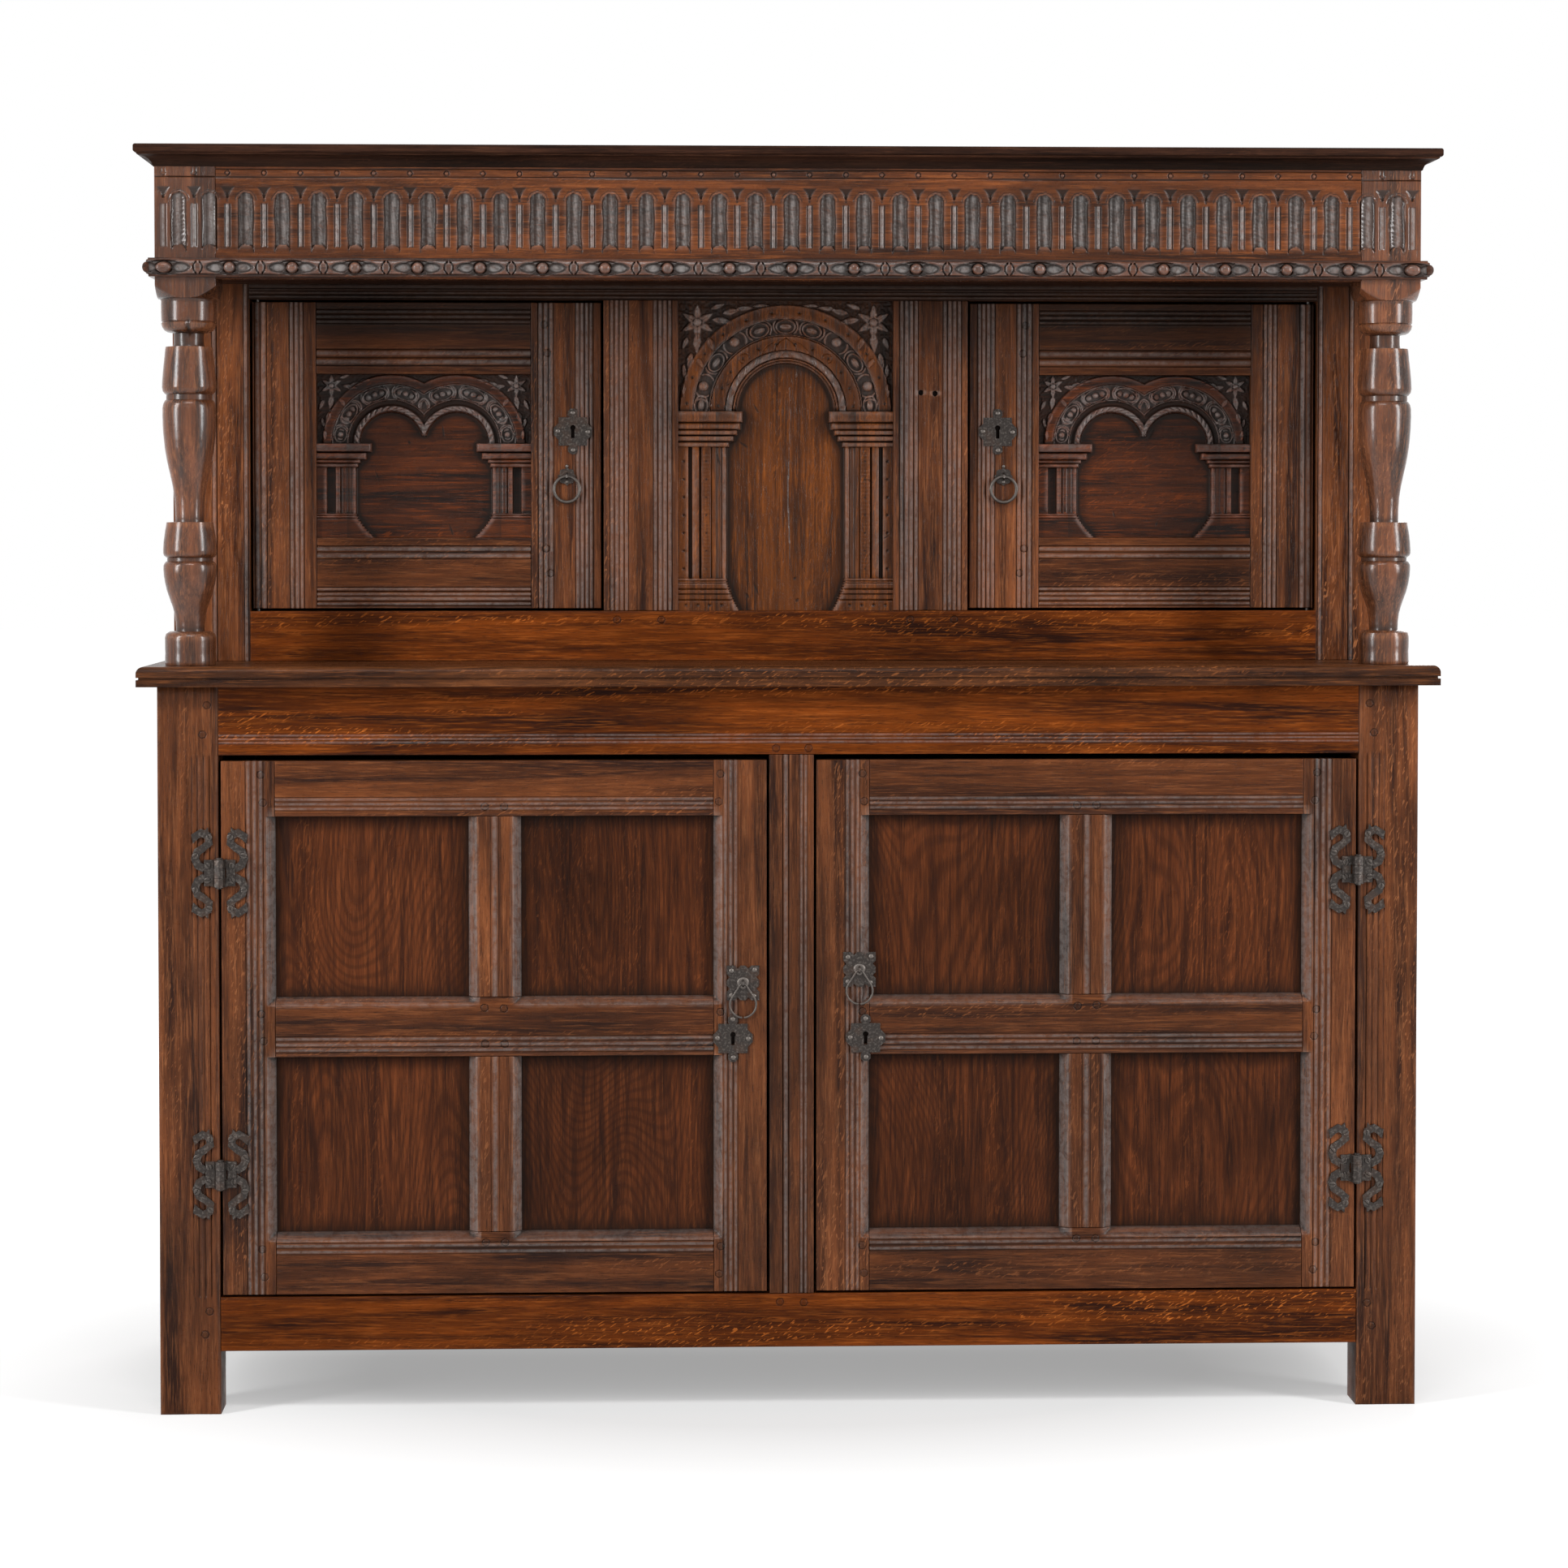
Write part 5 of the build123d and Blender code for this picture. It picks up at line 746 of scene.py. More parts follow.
def tall_band(r, angle):
    """The tall arch's band: split ovals and two round bosses, with crescents between them."""
    h = np.full_like(r, -3.8)
    v = r - TALL_BAND
    for turn in (90, 108, 126.5, 145, 163, 176):
        s = np.radians(angle - turn) * TALL_BAND
        if turn in (126.5, 163):
            far = np.hypot(s, v - 1.5)
            h = lay(h, -5.2, inside(far, 6.4, 8.2, 0.9))
            h = np.where(far < 6.4, -2.4 + dome(far, 6.4, 4.6), h)
            continue
        long = 13.5
        oval = np.sqrt((s / long) ** 2 + (v / 9.4) ** 2)
        h = lay(h, -0.3, inside(oval, 0.84, 1.03, 0.10))
        h = lay(h, -4.8, inside(oval, -1, 0.82, 0.10))
        lobe = np.hypot(s / (long * 0.62), v / 4.6)
        h = np.where(lobe < 1, np.maximum(h, -4.6 + dome(lobe, 1.0, 4.4)), h)
        h = h - 1.2 * np.clip(1 - np.abs(v) / 0.8, 0, 1) * (lobe < 0.9)
    h = crescents(h, angle, v, TALL_BAND, 9, (99, 117.5, 135.5, 154, 171), ((1.6, 1.5),), 0.05, -3.6, 3.0)
    return lay(h, -0.8, inside(r, 101, 103, 0.8) + inside(r, 123.4, 125.4, 0.8))


def flower(field, x, z, long, wide, button):
    """A flower of six pointed petals round a boss."""
    for turn in range(90, 450, 60):
        leaf(field, x, z, turn, long, wide, 2.6, 0.9)
    boss(field, x, z, button, 2.6, 0.9)


def spray(field, places, way, middle, foot):
    """Carved leaves as (across, up, angle, length, width), mirrored where way is -1."""
    for across, up, angle, long, wide in places:
        leaf(field, middle + way * across, foot + up, angle if way > 0 else 180 - angle, long, wide, 2.4, 0.8)


def relieve(field, zone, low, high, shine=0.5, grime_and_shade=0.8):
    """Painted highlight on what stands above high in a zone, and painted shade on what lies under low."""
    lifted = np.clip((field.h - low) / (high - low), 0, 1)
    field.painted_sheen += zone * shine * lifted
    field.dark += zone * grime_and_shade * (1 - lifted)


def shadowed(field, opening, reach):
    """Painted shade in an opening, thickest along its edge."""
    field.dark += np.where(opening, 0.75 * (1 - blurred(opening.astype(float), (reach, reach))) * 1.7, 0)


DOOR_SPRAYS = (
    (-122.8, 190, 262, 19, 8), (-112, 186, 300, 13, 6), (-134, 184, 245, 14, 6), (-126, 168, 255, 17, 7),
    (-136, 160, 282, 15, 5.5), (-108, 203, 350, 20, 7), (-98, 205, 5, 17, 6), (-133, 144, 275, 14, 4.5),
    (-112, 213, 20, 14, 5), (-86, 209, 8, 15, 5),
)
TALL_SPRAYS = (
    (-118, 372, 268, 28, 11), (-104, 366, 292, 20, 9), (-132, 366, 248, 17, 8), (-126, 345, 258, 24, 10),
    (-137, 330, 276, 22, 7), (-98, 390, 352, 26, 10), (-84, 398, 12, 24, 9), (-66, 404, 4, 24, 7),
    (-138, 305, 272, 20, 5.5), (-100, 404, 20, 20, 7), (-118, 338, 300, 16, 7), (-44, 408, 2, 22, 5),
)


def door_arcade(left, right, low, high):
    """The pair of arches on an upper door."""
    field = Field(left, right, low, high, 0.8, 0.8)
    middle = (left + right) / 2
    across, up, p, r, angle = arch_frame(field, middle, low, DOOR_HALF, DOOR_CENTRE, DOOR_SPRING)
    over = inside(up - np.where(np.abs(across) < 9, DOOR_SPRING + 10, DOOR_SPRING), 0, 999, 1.2)
    h = np.full_like(r, GROUND)
    h = lay(h, SPANDREL + 0.5 * lattice((field.xs, field.zs), (2.2, 2.2), 5), over * inside(r, 79, 999))
    h = lay(h, 0.0, over * inside(r, 79.5, 91.5))
    h = lay(h, door_band(r, angle), over * inside(r, 57.6, 79.5, 1.0))
    h = lay(h, -4.2 - 1.8 * np.sin(np.pi * np.clip((r - 50) / 7.6, 0, 1)), over * inside(r, 50, 57.6, 0.9))
    h = lay(h, rope(r, angle, 43.4, 50.4, 17, 1.5), over * inside(r, 43.4, 50.2, 0.9))
    h = lay(h, -4.6, over * inside(r, 41.7, 43.2, 0.8))
    field.h = piers(
        h, p, up, 52, 94, ((13.4, 24.6, 6.4), (31.0, 32.6, 2.2)), 33,
        ((94, 99.5, 55, 2.6), (99.5, 104.5, 58, 3.4), (104.5, 113.5, 66, 4.2), (114.5, 126, 73, 6.0)),
        75, 32, ((29.4, 1.8, 1.4), (25.6, 1.8, 1.4)),
    )
    # a painted highlight on the rope and painted shade in the sunk band round it
    field.painted_sheen += over * 0.5 * inside(r, 43, 50, 1.0)
    field.dark += over * 0.45 * inside(r, 50, 57.6, 0.9)
    shadowed(field, (h < -8.5) & (p > 40), 11)
    for way in (1, -1):
        flower(field, middle - way * 123.5, low + 203, 15, 6.4, 3.2)
        spray(field, DOOR_SPRAYS, way, middle, low)
    # painted highlights on the raised carving and painted shade on the sunk ground round it
    relieve(field, over * inside(r, 92, 999), -3.0, -1.4)
    relieve(field, over * inside(r, 58, 79, 1.0), -4.2, -1.6, 0.5, 0.7)
    scars(field, 11 + left, 9)
    return field.uneven(0.25, (40, 30), 11)


def tall_stars(field, low, way):
    """The star punches on half of the tall arch: on its two rings, up its pier and along its foot."""
    for i in range(6):
        turn = math.radians(98 + 15.5 * i)
        for radius in (91, 133):
            star(field, way * radius * math.cos(turn), low + TALL_SPRING + radius * math.sin(turn))
    for i in range(7):
        star(field, way * 137, low + 56 + 24 * i)
        star(field, way * 106.5, low + 56 + 24 * i, 2.2, 0.6)
    for i in range(4):
        star(field, way * (134 - 16 * i), low + 7)


def tall_arcade(left, right, low, high):
    """The single tall arch in the middle, with a crack down its field."""
    field = Field(left, right, low, high, 0.85, 0.85)
    across, up, p, r, angle = arch_frame(field, 0.0, low, TALL_HALF, 0.0, TALL_SPRING)
    over = inside(up, TALL_SPRING, 999, 1.2)
    h = np.full_like(r, GROUND)
    h = lay(h, SPANDREL + 0.5 * lattice((field.xs, field.zs), (2.4, 2.4), 6), over * inside(r, 124, 999))
    h = lay(h, 0.0, over * inside(r, 125, 142))
    h = lay(h, tall_band(r, angle), over * inside(r, 101, 125, 1.0))
    h = lay(h, 0.0, over * inside(r, 81.5, 101, 1.0))
    h = lay(h, rope(r, angle, 71.5, 81.5, 13.5, 0.7), over * inside(r, 71.5, 81.5, 0.9))
    h = lay(h, -2.2, over * inside(r, 68.0, 71.2, 0.9))
    h = lay(h, -4.4, over * inside(r, 64.5, 68.0, 0.9))
    for turn in (90, 100, 112):
        s = np.radians(angle - turn) * 90 + (turn - 90) * 0.10 * (r - 82) ** 2 * 0.06
        h = h + groove(s, 1.7, 1.2) * inside(r, 83, 99, 1.5) * over
    far = np.hypot(r - 90, np.radians(angle - 128) * 90)
    h = h + groove(far - 6.5, 1.6, 1.0) * (r > 86) * over * (r < 99)
    field.h = piers(
        h, p, up, 64.5, 219, ((13.7, 18.4, 6.4), (28.2, 30.6, 4.0), (43.6, 45.2, 2.2)), 45.5,
        (
            (219, 226, 68, 2.4), (227, 234, 74, 3.2), (235, 242, 79, 3.8), (242.5, 251.5, 83, 4.6),
            (252, 267, 86, 6.0),
        ),
        81, 43, ((39.5, 1.8, 1.4), (36.5, 1.6, 1.2), (28.5, 2.2, 1.8), (22.0, 2.2, 1.8), (14.0, 2.0, 1.6)),
    )
    # a painted highlight on the rope and painted shade in the sunk band inside it
    field.painted_sheen += over * 0.35 * inside(r, 72, 81, 1.0)
    field.dark += over * 0.4 * inside(r, 64.5, 68, 0.9)
    opening = (h < -8.5) & (p > 50)
    shadowed(field, opening, 13)
    crack = np.abs(across - 5 - 1.5 * np.sin(up * 0.03)) < 0.5
    field.h -= np.where(crack & opening & (up > 60) & (up < 300), 0.8, 0.0)
    # a painted highlight along the crack
    field.painted_sheen += np.where(crack & (up > 90) & (up < 200), 0.7, 0.0)
    for way in (1, -1):
        tall_stars(field, low, way)
        flower(field, -way * 118, low + 386, 24, 10, 5.2)
        spray(field, TALL_SPRAYS, way, 0.0, low)
    # painted highlights on the raised carving and painted shade on the sunk ground round it
    relieve(field, over * inside(r, 142, 999), -3.0, -1.4)
    relieve(field, over * inside(r, 102, 125, 1.0), -4.4, -1.6, 0.4, 0.7)
    scales = np.abs(np.sin(up * 0.62)) * inside(p, 32, 43, 1.0) * inside(up, 48, 216, 1.0)
    field.h -= 0.3 * scales
    scars(field, 12, 16)
    return field.uneven(0.25, (50, 60), 12)


PEG_REACH, KEY_REACH = 6.5, 13.0  # how far the fine grid goes round a peg and a keyhole


def bevelled(field, bays):
    """Cuts the bevel round each panel opening; it dies square under the head."""
    for x0, x1, z0, z1 in bays:
        dx = np.maximum(np.maximum(x0 - field.x, field.x - x1), 0)
        dz = np.maximum(z0 - field.z, 0)
        cut = BEVEL - np.maximum(dx, dz)
        near = (field.z < z1) & (cut > 0) & (field.z > z0 - BEVEL)
        # a painted highlight on the bevels, stronger on their upright sides than along their feet
        field.painted_sheen = np.where(near, np.where(dx > dz, 0.42, 0.14), field.painted_sheen)
        field.h = np.where(near, np.minimum(field.h, -cut + 0.35 * np.sin(field.z * 0.05)), field.h)
        rim = (np.abs(cut) < 1.2) & (field.z < z1) & (field.z > z0 - BEVEL - 1)
        field.h = np.where(rim, np.minimum(field.h, -0.35), field.h)


def peg(field, x, z):
    """An oak peg's end: a many-sided plug, darker than the board round it."""
    part = field.near(x, z, PEG_REACH)
    dx, dz = field.x[part] - x, field.z[part] - z
    far = np.hypot(dx, dz) * (1 + 0.05 * np.cos(6 * np.arctan2(dz, dx) + x))
    field.h[part] += groove(far - 4.7, 1.5, 0.9) + np.where(far < 4.4, 0.25, 0.0)
    field.dark[part] += np.where(far < 5.3, 0.4, 0.0)


def bore(field, x, z):
    """A round hole through the face, painted dark inside as shade."""
    far = np.hypot(field.x - x, field.z - z)
    field.h = np.where(far < 3.4, -9.0, field.h)
    field.dark += far < 3.6


def pierce(field, x, z):
    """A keyhole cut in a board, painted black inside as shade."""
    part = field.near(x, z, KEY_REACH + 1)
    dx, dz = np.abs(field.x[part] - x), field.z[part] - z
    hole = (np.hypot(dx, dz - 5) < 4.2) | ((dx < 2.8) & (dz < 5) & (dz > -9))
    field.h[part] = np.where(hole, -11.0, field.h[part])
    field.dark[part] += np.where(hole, 1.0, 0.0)


def scars(field, seed, count):
    """Small knocks, old nail holes and worm holes."""
    rng = np.random.default_rng(int(seed) + 900)
    x0, x1, z0, z1 = field.box
    for _ in range(count):
        x, z = rng.uniform(x0 + 6, x1 - 6), rng.uniform(z0 + 6, z1 - 6)
        part = field.near(x, z, 16)
        turn, long, wide = rng.uniform(0, 3.14), rng.uniform(3, 12), rng.uniform(1.0, 2.6)
        dx, dz = field.x[part] - x, field.z[part] - z
        along = (dx * math.cos(turn) + dz * math.sin(turn)) / long
        across = (-dx * math.sin(turn) + dz * math.cos(turn)) / wide
        cut = np.clip(1 - along**2 - across**2, 0, 1)
        field.h[part] -= 0.7 * cut
        field.dark[part] += 0.7 * cut


def upright(x0, x1, z0, z1, runs=(), bays=(), seed=1, marks=(), gap=JOINT, pegs=(), key=None, holes=()):
    """A stile's field: runs of reeds as (start, width, reeds, depth), and bevels for its bays."""
    dense = [(z, PEG_REACH) for z in sorted({place[1] for place in (*pegs, *holes)})]
    if key:
        dense.append((key[1], KEY_REACH))
    field = Field(x0 + gap, x1 - gap, z0 + gap, z1 - gap, 1.0, 14.0, marks_z=marks, dense_z=dense)
    reeds(field, field.x, runs)
    bevelled(field, bays)
    for place in pegs:
        peg(field, *place)
    for place in holes:
        bore(field, *place)
    if key:
        pierce(field, *key)
    # painted shadow of the frieze's overhang, darkening the upper case's uprights towards their tops
    if z0 >= UPPER_FOOT:
        field.dark += 0.55 * np.clip((field.z - 1370) / 70, 0, 1)
    return field.uneven(0.5, (30, 150), seed).rounded()


def level(x0, x1, z0, z1, runs=(), bays=(), seed=1, marks=(), gap=JOINT, pegs=()):
    """A rail's field: runs of reeds are given upwards from their start. Near the frieze it is painted with
    the shadow of the overhang.
    """
    dense = [(x, PEG_REACH) for x in sorted({place[0] for place in pegs})]
    field = Field(x0 + gap, x1 - gap, z0 + gap, z1 - gap, 14.0, 1.0, marks_x=marks, dense_x=dense)
    reeds(field, field.z, runs)
    bevelled(field, bays)
    for place in pegs:
        peg(field, *place)
    # painted shadow under the frieze's overhang, which also takes away painted sheen
    top = np.clip((field.z - 1362) / 55, 0, 1)
    field.dark += 0.9 * top
    field.painted_sheen *= 1 - 0.75 * top
    return field.uneven(0.5, (150, 30), seed).rounded()


def mirror_box(box, way):
    """A (x0, x1) span, mirrored where way is -1."""
    return box if way > 0 else (-box[1], -box[0])


def mirror_runs(runs, way):
    """Runs of reeds up a stile, mirrored where way is -1."""
    return [(start if way > 0 else -start - width, width, *rest) for start, width, *rest in runs]


# Lower case -----------------------------------------------------------------------------
POST_IN, HALF, FRONT = 738.0, 816.0, -258.0
RAIL_LOW, RAIL_Z, LINTEL_Z, CASE_TOP = 82.0, 152.0, 853.0, 942.0
RAIL_DEEP = 32  # thickness of the rails and the muntin


def lower_case():
    """The lower case's front: posts, rails and the muntin between the doors."""
    posts = Pieces()
    for way, tone in ((1, 0.1), (-1, -0.05)):
        pegs = [(way * x, z) for x, z in ((-758.0, 104.0), (-752.0, 134.0), (-758.0, 880.0), (-752.0, 918.0))]
        dense = [(z, PEG_REACH) for _, z in pegs]
        x0, x1 = mirror_box((-HALF, -POST_IN), way)
        field = Field(x0, x1, 0, CASE_TOP, 1.0, 14.0, marks_z=(RAIL_Z, LINTEL_Z), dense_z=dense)
        run = mirror_runs(((-773.0, 24, 3, 2.0),), way)[0]
        field.h += inside(field.z, RAIL_Z, LINTEL_Z, 3.0) * reeded(field.x, *run)
        for place in pegs:
            peg(field, *place)
        posts.board(field.uneven(0.6, (30, 160), 21 + way).rounded(2.0), FRONT, FRONT + 60, tone)
    muntin = upright(-29, 29, RAIL_Z, LINTEL_Z, ((-12, 9, 1, 2.6), (10, 11, 2, 1.8)), seed=24)
    posts.board(muntin, FRONT, FRONT + RAIL_DEEP, -1.2)
    nodes = ("front_left_post", "front_right_post", "lower_muntin")
    posts.finish("lower_posts", FRAME_OAK["Z"], "carcass", "oak_frame", nodes)
    sill = level(-POST_IN, POST_IN, RAIL_LOW, RAIL_Z, seed=25, pegs=((-15, 141), (16, 140)))
    pegs = ((-20, 861), (22, 861))
    lintel = level(-POST_IN, POST_IN, LINTEL_Z, CASE_TOP, ((867, 14, 3, 1.4),), seed=26, pegs=pegs)
    nodes = ("lower_bottom_rail", "lower_top_rail")
    boards = ((sill, 0.0), (lintel, 0.3))
    fit("lower_rails", WARM_OAK["X"], "carcass", nodes, boards, FRONT, FRONT + RAIL_DEEP)


DOOR_ROWS = ((235.0, 463.0), (540.0, 774.0))
DOOR_COLUMNS = ((-666.0, -417.5), (-349.5, -101.0))
DOOR_LOW, DOOR_HIGH = 155.0, 846.0
DOOR_BACK = -226.3
LOWER_KEYS = {1: (-76.0, 485.0), -1: (96.0, 485.0)}
HANDLES = {1: (-63.0, 557.0), -1: (88.0, 574.0)}
PANEL_TONGUE = 7.5  # how far a panel goes into its grooves


def lower_panel(bay, seed):
    """A panel's field, darkened round its edge with grime and painted shade from the frame it sits behind."""
    x0, x1, z0, z1 = bay
    tongue = PANEL_TONGUE
    field = Field(x0 - tongue, x1 + tongue, z0 - tongue, z1 + tongue, 7, 7).uneven(0.9, (120, 200), seed)
    edge = np.minimum(np.minimum(field.x - x0, x1 - field.x), np.minimum(field.z - z0, z1 - field.z))
    field.dark += 0.85 * np.clip(1 - np.maximum(edge, 0) / 34, 0, 1) ** 2
    return field


def lower_door(side, way):
    """A lower door's frame and panels."""
    body = f"lower_{side}_door"
    slip = 0.0 if way > 0 else 7.0
    bays = [(*mirror_box(span, way), *row) for row in DOOR_ROWS for span in DOOR_COLUMNS]
    marks = [m for low, high in DOOR_ROWS for m in (low - BEVEL, low, high)]

    def stile(span, run, seed, pegs, key=None):
        """One of the door's two stiles."""
        runs = mirror_runs((run,), way)
        return upright(
            *mirror_box(span, way), DOOR_LOW, DOOR_HIGH, runs, bays, seed + slip, marks, pegs=pegs, key=key
        )

    heights = (178, 214, 484, 519, 792, 828)
    hanging = [(way * (-681 - (i % 2) * 3), z) for i, z in enumerate(heights)]
    locking = [(way * (-94 + (i % 2) * 2), z) for i, z in enumerate(heights)]
    stiles = (
        (stile((-735, -666), (-704.0, 24, 3, 2.0), 31, hanging), 0.15),
        (stile((-101, -32), (-89.0, 20, 3, 1.8), 32, locking, LOWER_KEYS[way]), -0.1),
    )
    fit(f"{body}_stile_boards", FRAME_OAK["Z"], body, (f"{body}_stiles",), stiles, FRONT, DOOR_BACK)

    ridge = mirror_runs(((-390.0, 13, 1, 1.6),), way)
    bar_span = mirror_box((-417.5, -349.5), way)
    bars = []
    for i, row in enumerate(DOOR_ROWS):
        bars.append((upright(*bar_span, *row, ridge, bays, 33 + i + slip, marks), 0.5 - i * 0.6))
    fit(f"{body}_bars", FRAME_OAK["Z"], body, (f"{body}_muntins",), bars, FRONT, DOOR_BACK)

    rail_span = mirror_box((-666, -101), way)
    ends = [m for bay in bays for m in bay[:2]]
    rails = []
    for i, (z0, z1, run, lift, tone) in enumerate((
        (DOOR_LOW, 235.0, (206.0, 16, 2, 1.6), 66, -0.4),
        (463.0, 540.0, (468.0, 22, 3, 1.6), 16, 0.2),
        (774.0, DOOR_HIGH, (781.0, 18, 3, 1.6), 12, 0.5),
    )):
        pegs = [(way * -396.0, z0 + lift), (way * -371.0, z0 + lift)]
        if i == 1:
            pegs += [(way * -397.0, z1 - 14), (way * -372.0, z1 - 15)]
        rails.append((level(*rail_span, z0, z1, (run,), bays, 36 + i + slip, ends, pegs=pegs), tone))
    fit(f"{body}_rail_boards", FRAME_OAK["X"], body, (f"{body}_rails",), rails, FRONT, DOOR_BACK)

    tones = (0.5, -0.3, 0.9, 0.1)
    panels = [(lower_panel(bay, 41 + i + slip), tones[i] + 0.1 * way) for i, bay in enumerate(bays)]
    nodes = (f"{body}_panels",)
    fit(f"{body}_panel_boards", PANEL_OAK, body, nodes, panels, FRONT + 14, FRONT + 24, "oak_panel")


# Upper case -----------------------------------------------------------------------------
UPPER_FACE, UPPER_BACK = -68.0, -32
DOOR_FACE, UPPER_DOOR_BACK = -58.0, -30
STILE_IN, MUNTIN_OUT, MUNTIN_IN = 715, 244, 144
UPPER_FOOT, SILL_TOP, HEAD_LOW, HEAD_TOP, FRIEZE_TOP = 968, 1035, 1450, 1540, 1624


def upper_case():
    """The recessed front: stiles, muntins, rails and the middle arcade."""

    def fit_frame(name, material, node, boards):
        fit(name, material, "carcass", (node,), boards, UPPER_FACE, UPPER_BACK)

    stiles, muntins = [], []
    for way in (1, -1):
        span = mirror_box((-HALF, -STILE_IN), way)
        beads = mirror_runs(((-765.0, 7, 1, 2.4), (-723.0, 7, 1, 2.4)), way)
        stile = upright(*span, UPPER_FOOT, FRIEZE_TOP, beads, seed=51 + way, gap=0.0)
        stiles.append((stile, 1.3 + 0.1 * way))
        span = mirror_box((-MUNTIN_OUT, -MUNTIN_IN), way)
        runs = mirror_runs(((-236.0, 26, 4, 2.6), (-178.0, 26, 4, 2.6)), way)
        holes = () if way > 0 else ((181.0, 1327.0), (200.0, 1326.0))
        muntins.append((upright(*span, SILL_TOP, HEAD_LOW, runs, seed=53 + way, holes=holes), 0.3))
    fit_frame("upper_stile_boards", FRAME_OAK["Z"], "upper_stiles", stiles)
    fit_frame("upper_muntin_boards", FRAME_OAK["Z"], "upper_muntins", muntins)

    across = [way * x for x in (167.0, 226.0) for way in (1, -1)]
    pegs = [(x, 1023.0) for x in across]
    sill = level(-STILE_IN, STILE_IN, UPPER_FOOT, SILL_TOP, seed=56, pegs=pegs)
    fit_frame("upper_sill", WARM_OAK["X"], "upper_bottom_rail", ((sill, 0.0),))
    pegs = [(x, 1480.0) for x in across]
    runs = ((1451, 11, 2, 2.4), (1464, 8, 1, 2.2))
    head = level(-STILE_IN, STILE_IN, HEAD_LOW, HEAD_TOP, runs, seed=57, pegs=pegs)
    fit_frame("upper_head", FRAME_OAK["X"], "upper_top_rail", ((head, 0.2),))
    arch = tall_arcade(-MUNTIN_IN, MUNTIN_IN, SILL_TOP, HEAD_LOW)
    fit("centre_arch", CENTRE_OAK, "carcass", ("centre_arcade",), ((arch, 0.7),), -60, -42, "oak_carved", 62)


UPPER_DOOR_LOW, UPPER_DOOR_HIGH = 1038.0, 1447.0
UPPER_OUT, ARCH_OUT, ARCH_IN, UPPER_IN = 712, 627, 341, 247
ARCH_LOW, ARCH_HIGH = 1133, 1351
UPPER_KEY = (-285.0, 1275.0)


def upper_door(side, way):
    """An upper door's frame and arcade."""
    body = f"upper_{side}_door"
    slip = 0.0 if way > 0 else 5.0
    low, high = UPPER_DOOR_LOW, UPPER_DOOR_HIGH
    runs = mirror_runs(((-710.0, 18, 2, 2.4), (-663.0, 20, 3, 2.8)), way)
    hanging = upright(*mirror_box((-UPPER_OUT, -ARCH_OUT), way), low, high, runs, seed=61 + slip)
    runs = mirror_runs(((-332.0, 22, 3, 2.8), (-282.0, 25, 4, 2.6)), way)
    pegs = [(way * x, z) for x, z in ((-319.0, 1380.0), (-323.0, 1418.0), (-315.0, 1085.0), (-321.0, 1118.0))]
    key = (way * UPPER_KEY[0], UPPER_KEY[1])
    span = mirror_box((-ARCH_IN, -UPPER_IN), way)
    locking = upright(*span, low, high, runs, seed=62 + slip, pegs=pegs, key=key)
    nodes = (f"{body}_stiles",)
    boards = ((hanging, 0.0), (locking, 0.2))
    fit(f"{body}_stile_boards", FRAME_OAK["Z"], body, nodes, boards, DOOR_FACE, UPPER_DOOR_BACK)

    span = mirror_box((-ARCH_OUT, -ARCH_IN), way)
    foot = level(*span, low, ARCH_LOW, ((1041, 26, 4, 2.6), (1104, 18, 2, 2.2)), seed=63 + slip)
    head = level(*span, ARCH_HIGH, high, ((1362, 23, 2, 2.4), (1418, 20, 3, 2.8)), seed=64 + slip)
    nodes = (f"{body}_rails",)
    boards = ((foot, -0.2), (head, 0.1))
    fit(f"{body}_rail_boards", FRAME_OAK["X"], body, nodes, boards, DOOR_FACE, UPPER_DOOR_BACK)
    boards = ((door_arcade(*span, ARCH_LOW, ARCH_HIGH), 0.2 * way),)
    fit(f"{body}_arches", DOOR_OAK, body, (f"{body}_arcade",), boards, -50, -34, "oak_carved", 62)


# Frieze, bead moulding and columns --------------------------------------------------------
CASE_BACK = 282  # the case's back, behind the middle


def frieze_board():
    """The frieze board between the column heads."""
    field = Field(-POST_IN + 0.3, POST_IN - 0.3, 1465, FRIEZE_TOP, 1.15, 1.3)
    carved = frieze_height(field.x, field.z)
    field.h += carved
    for i in range(-15, 17):
        star(field, (i - 0.5) * FLUTE_PITCH, 1565.0, 2.8, 1.2)
    # painted highlights down the flutes and painted shade in the carving's cuts
    painted_sheen, grime_and_shade = frieze_look(field.x, field.z, carved)
    field.painted_sheen += painted_sheen
    field.dark += grime_and_shade
    boards = ((field.uneven(0.4, (90, 60), 71), 0.1),)
    fit("frieze_board", FRIEZE_OAK, "carcass", ("frieze",), boards, FRONT, FRONT + 28, "oak_carved", 50)


def bead_field(low, high, step, start):
    """A length of bead moulding whose bosses are counted from start."""
    field = Field(low, high, BEAD_LOW, BEAD_TOP, step, 0.75)
    field.h += bead_height(field.x - start, field.z)
    bead_shine(field, field.x - start)
    return field


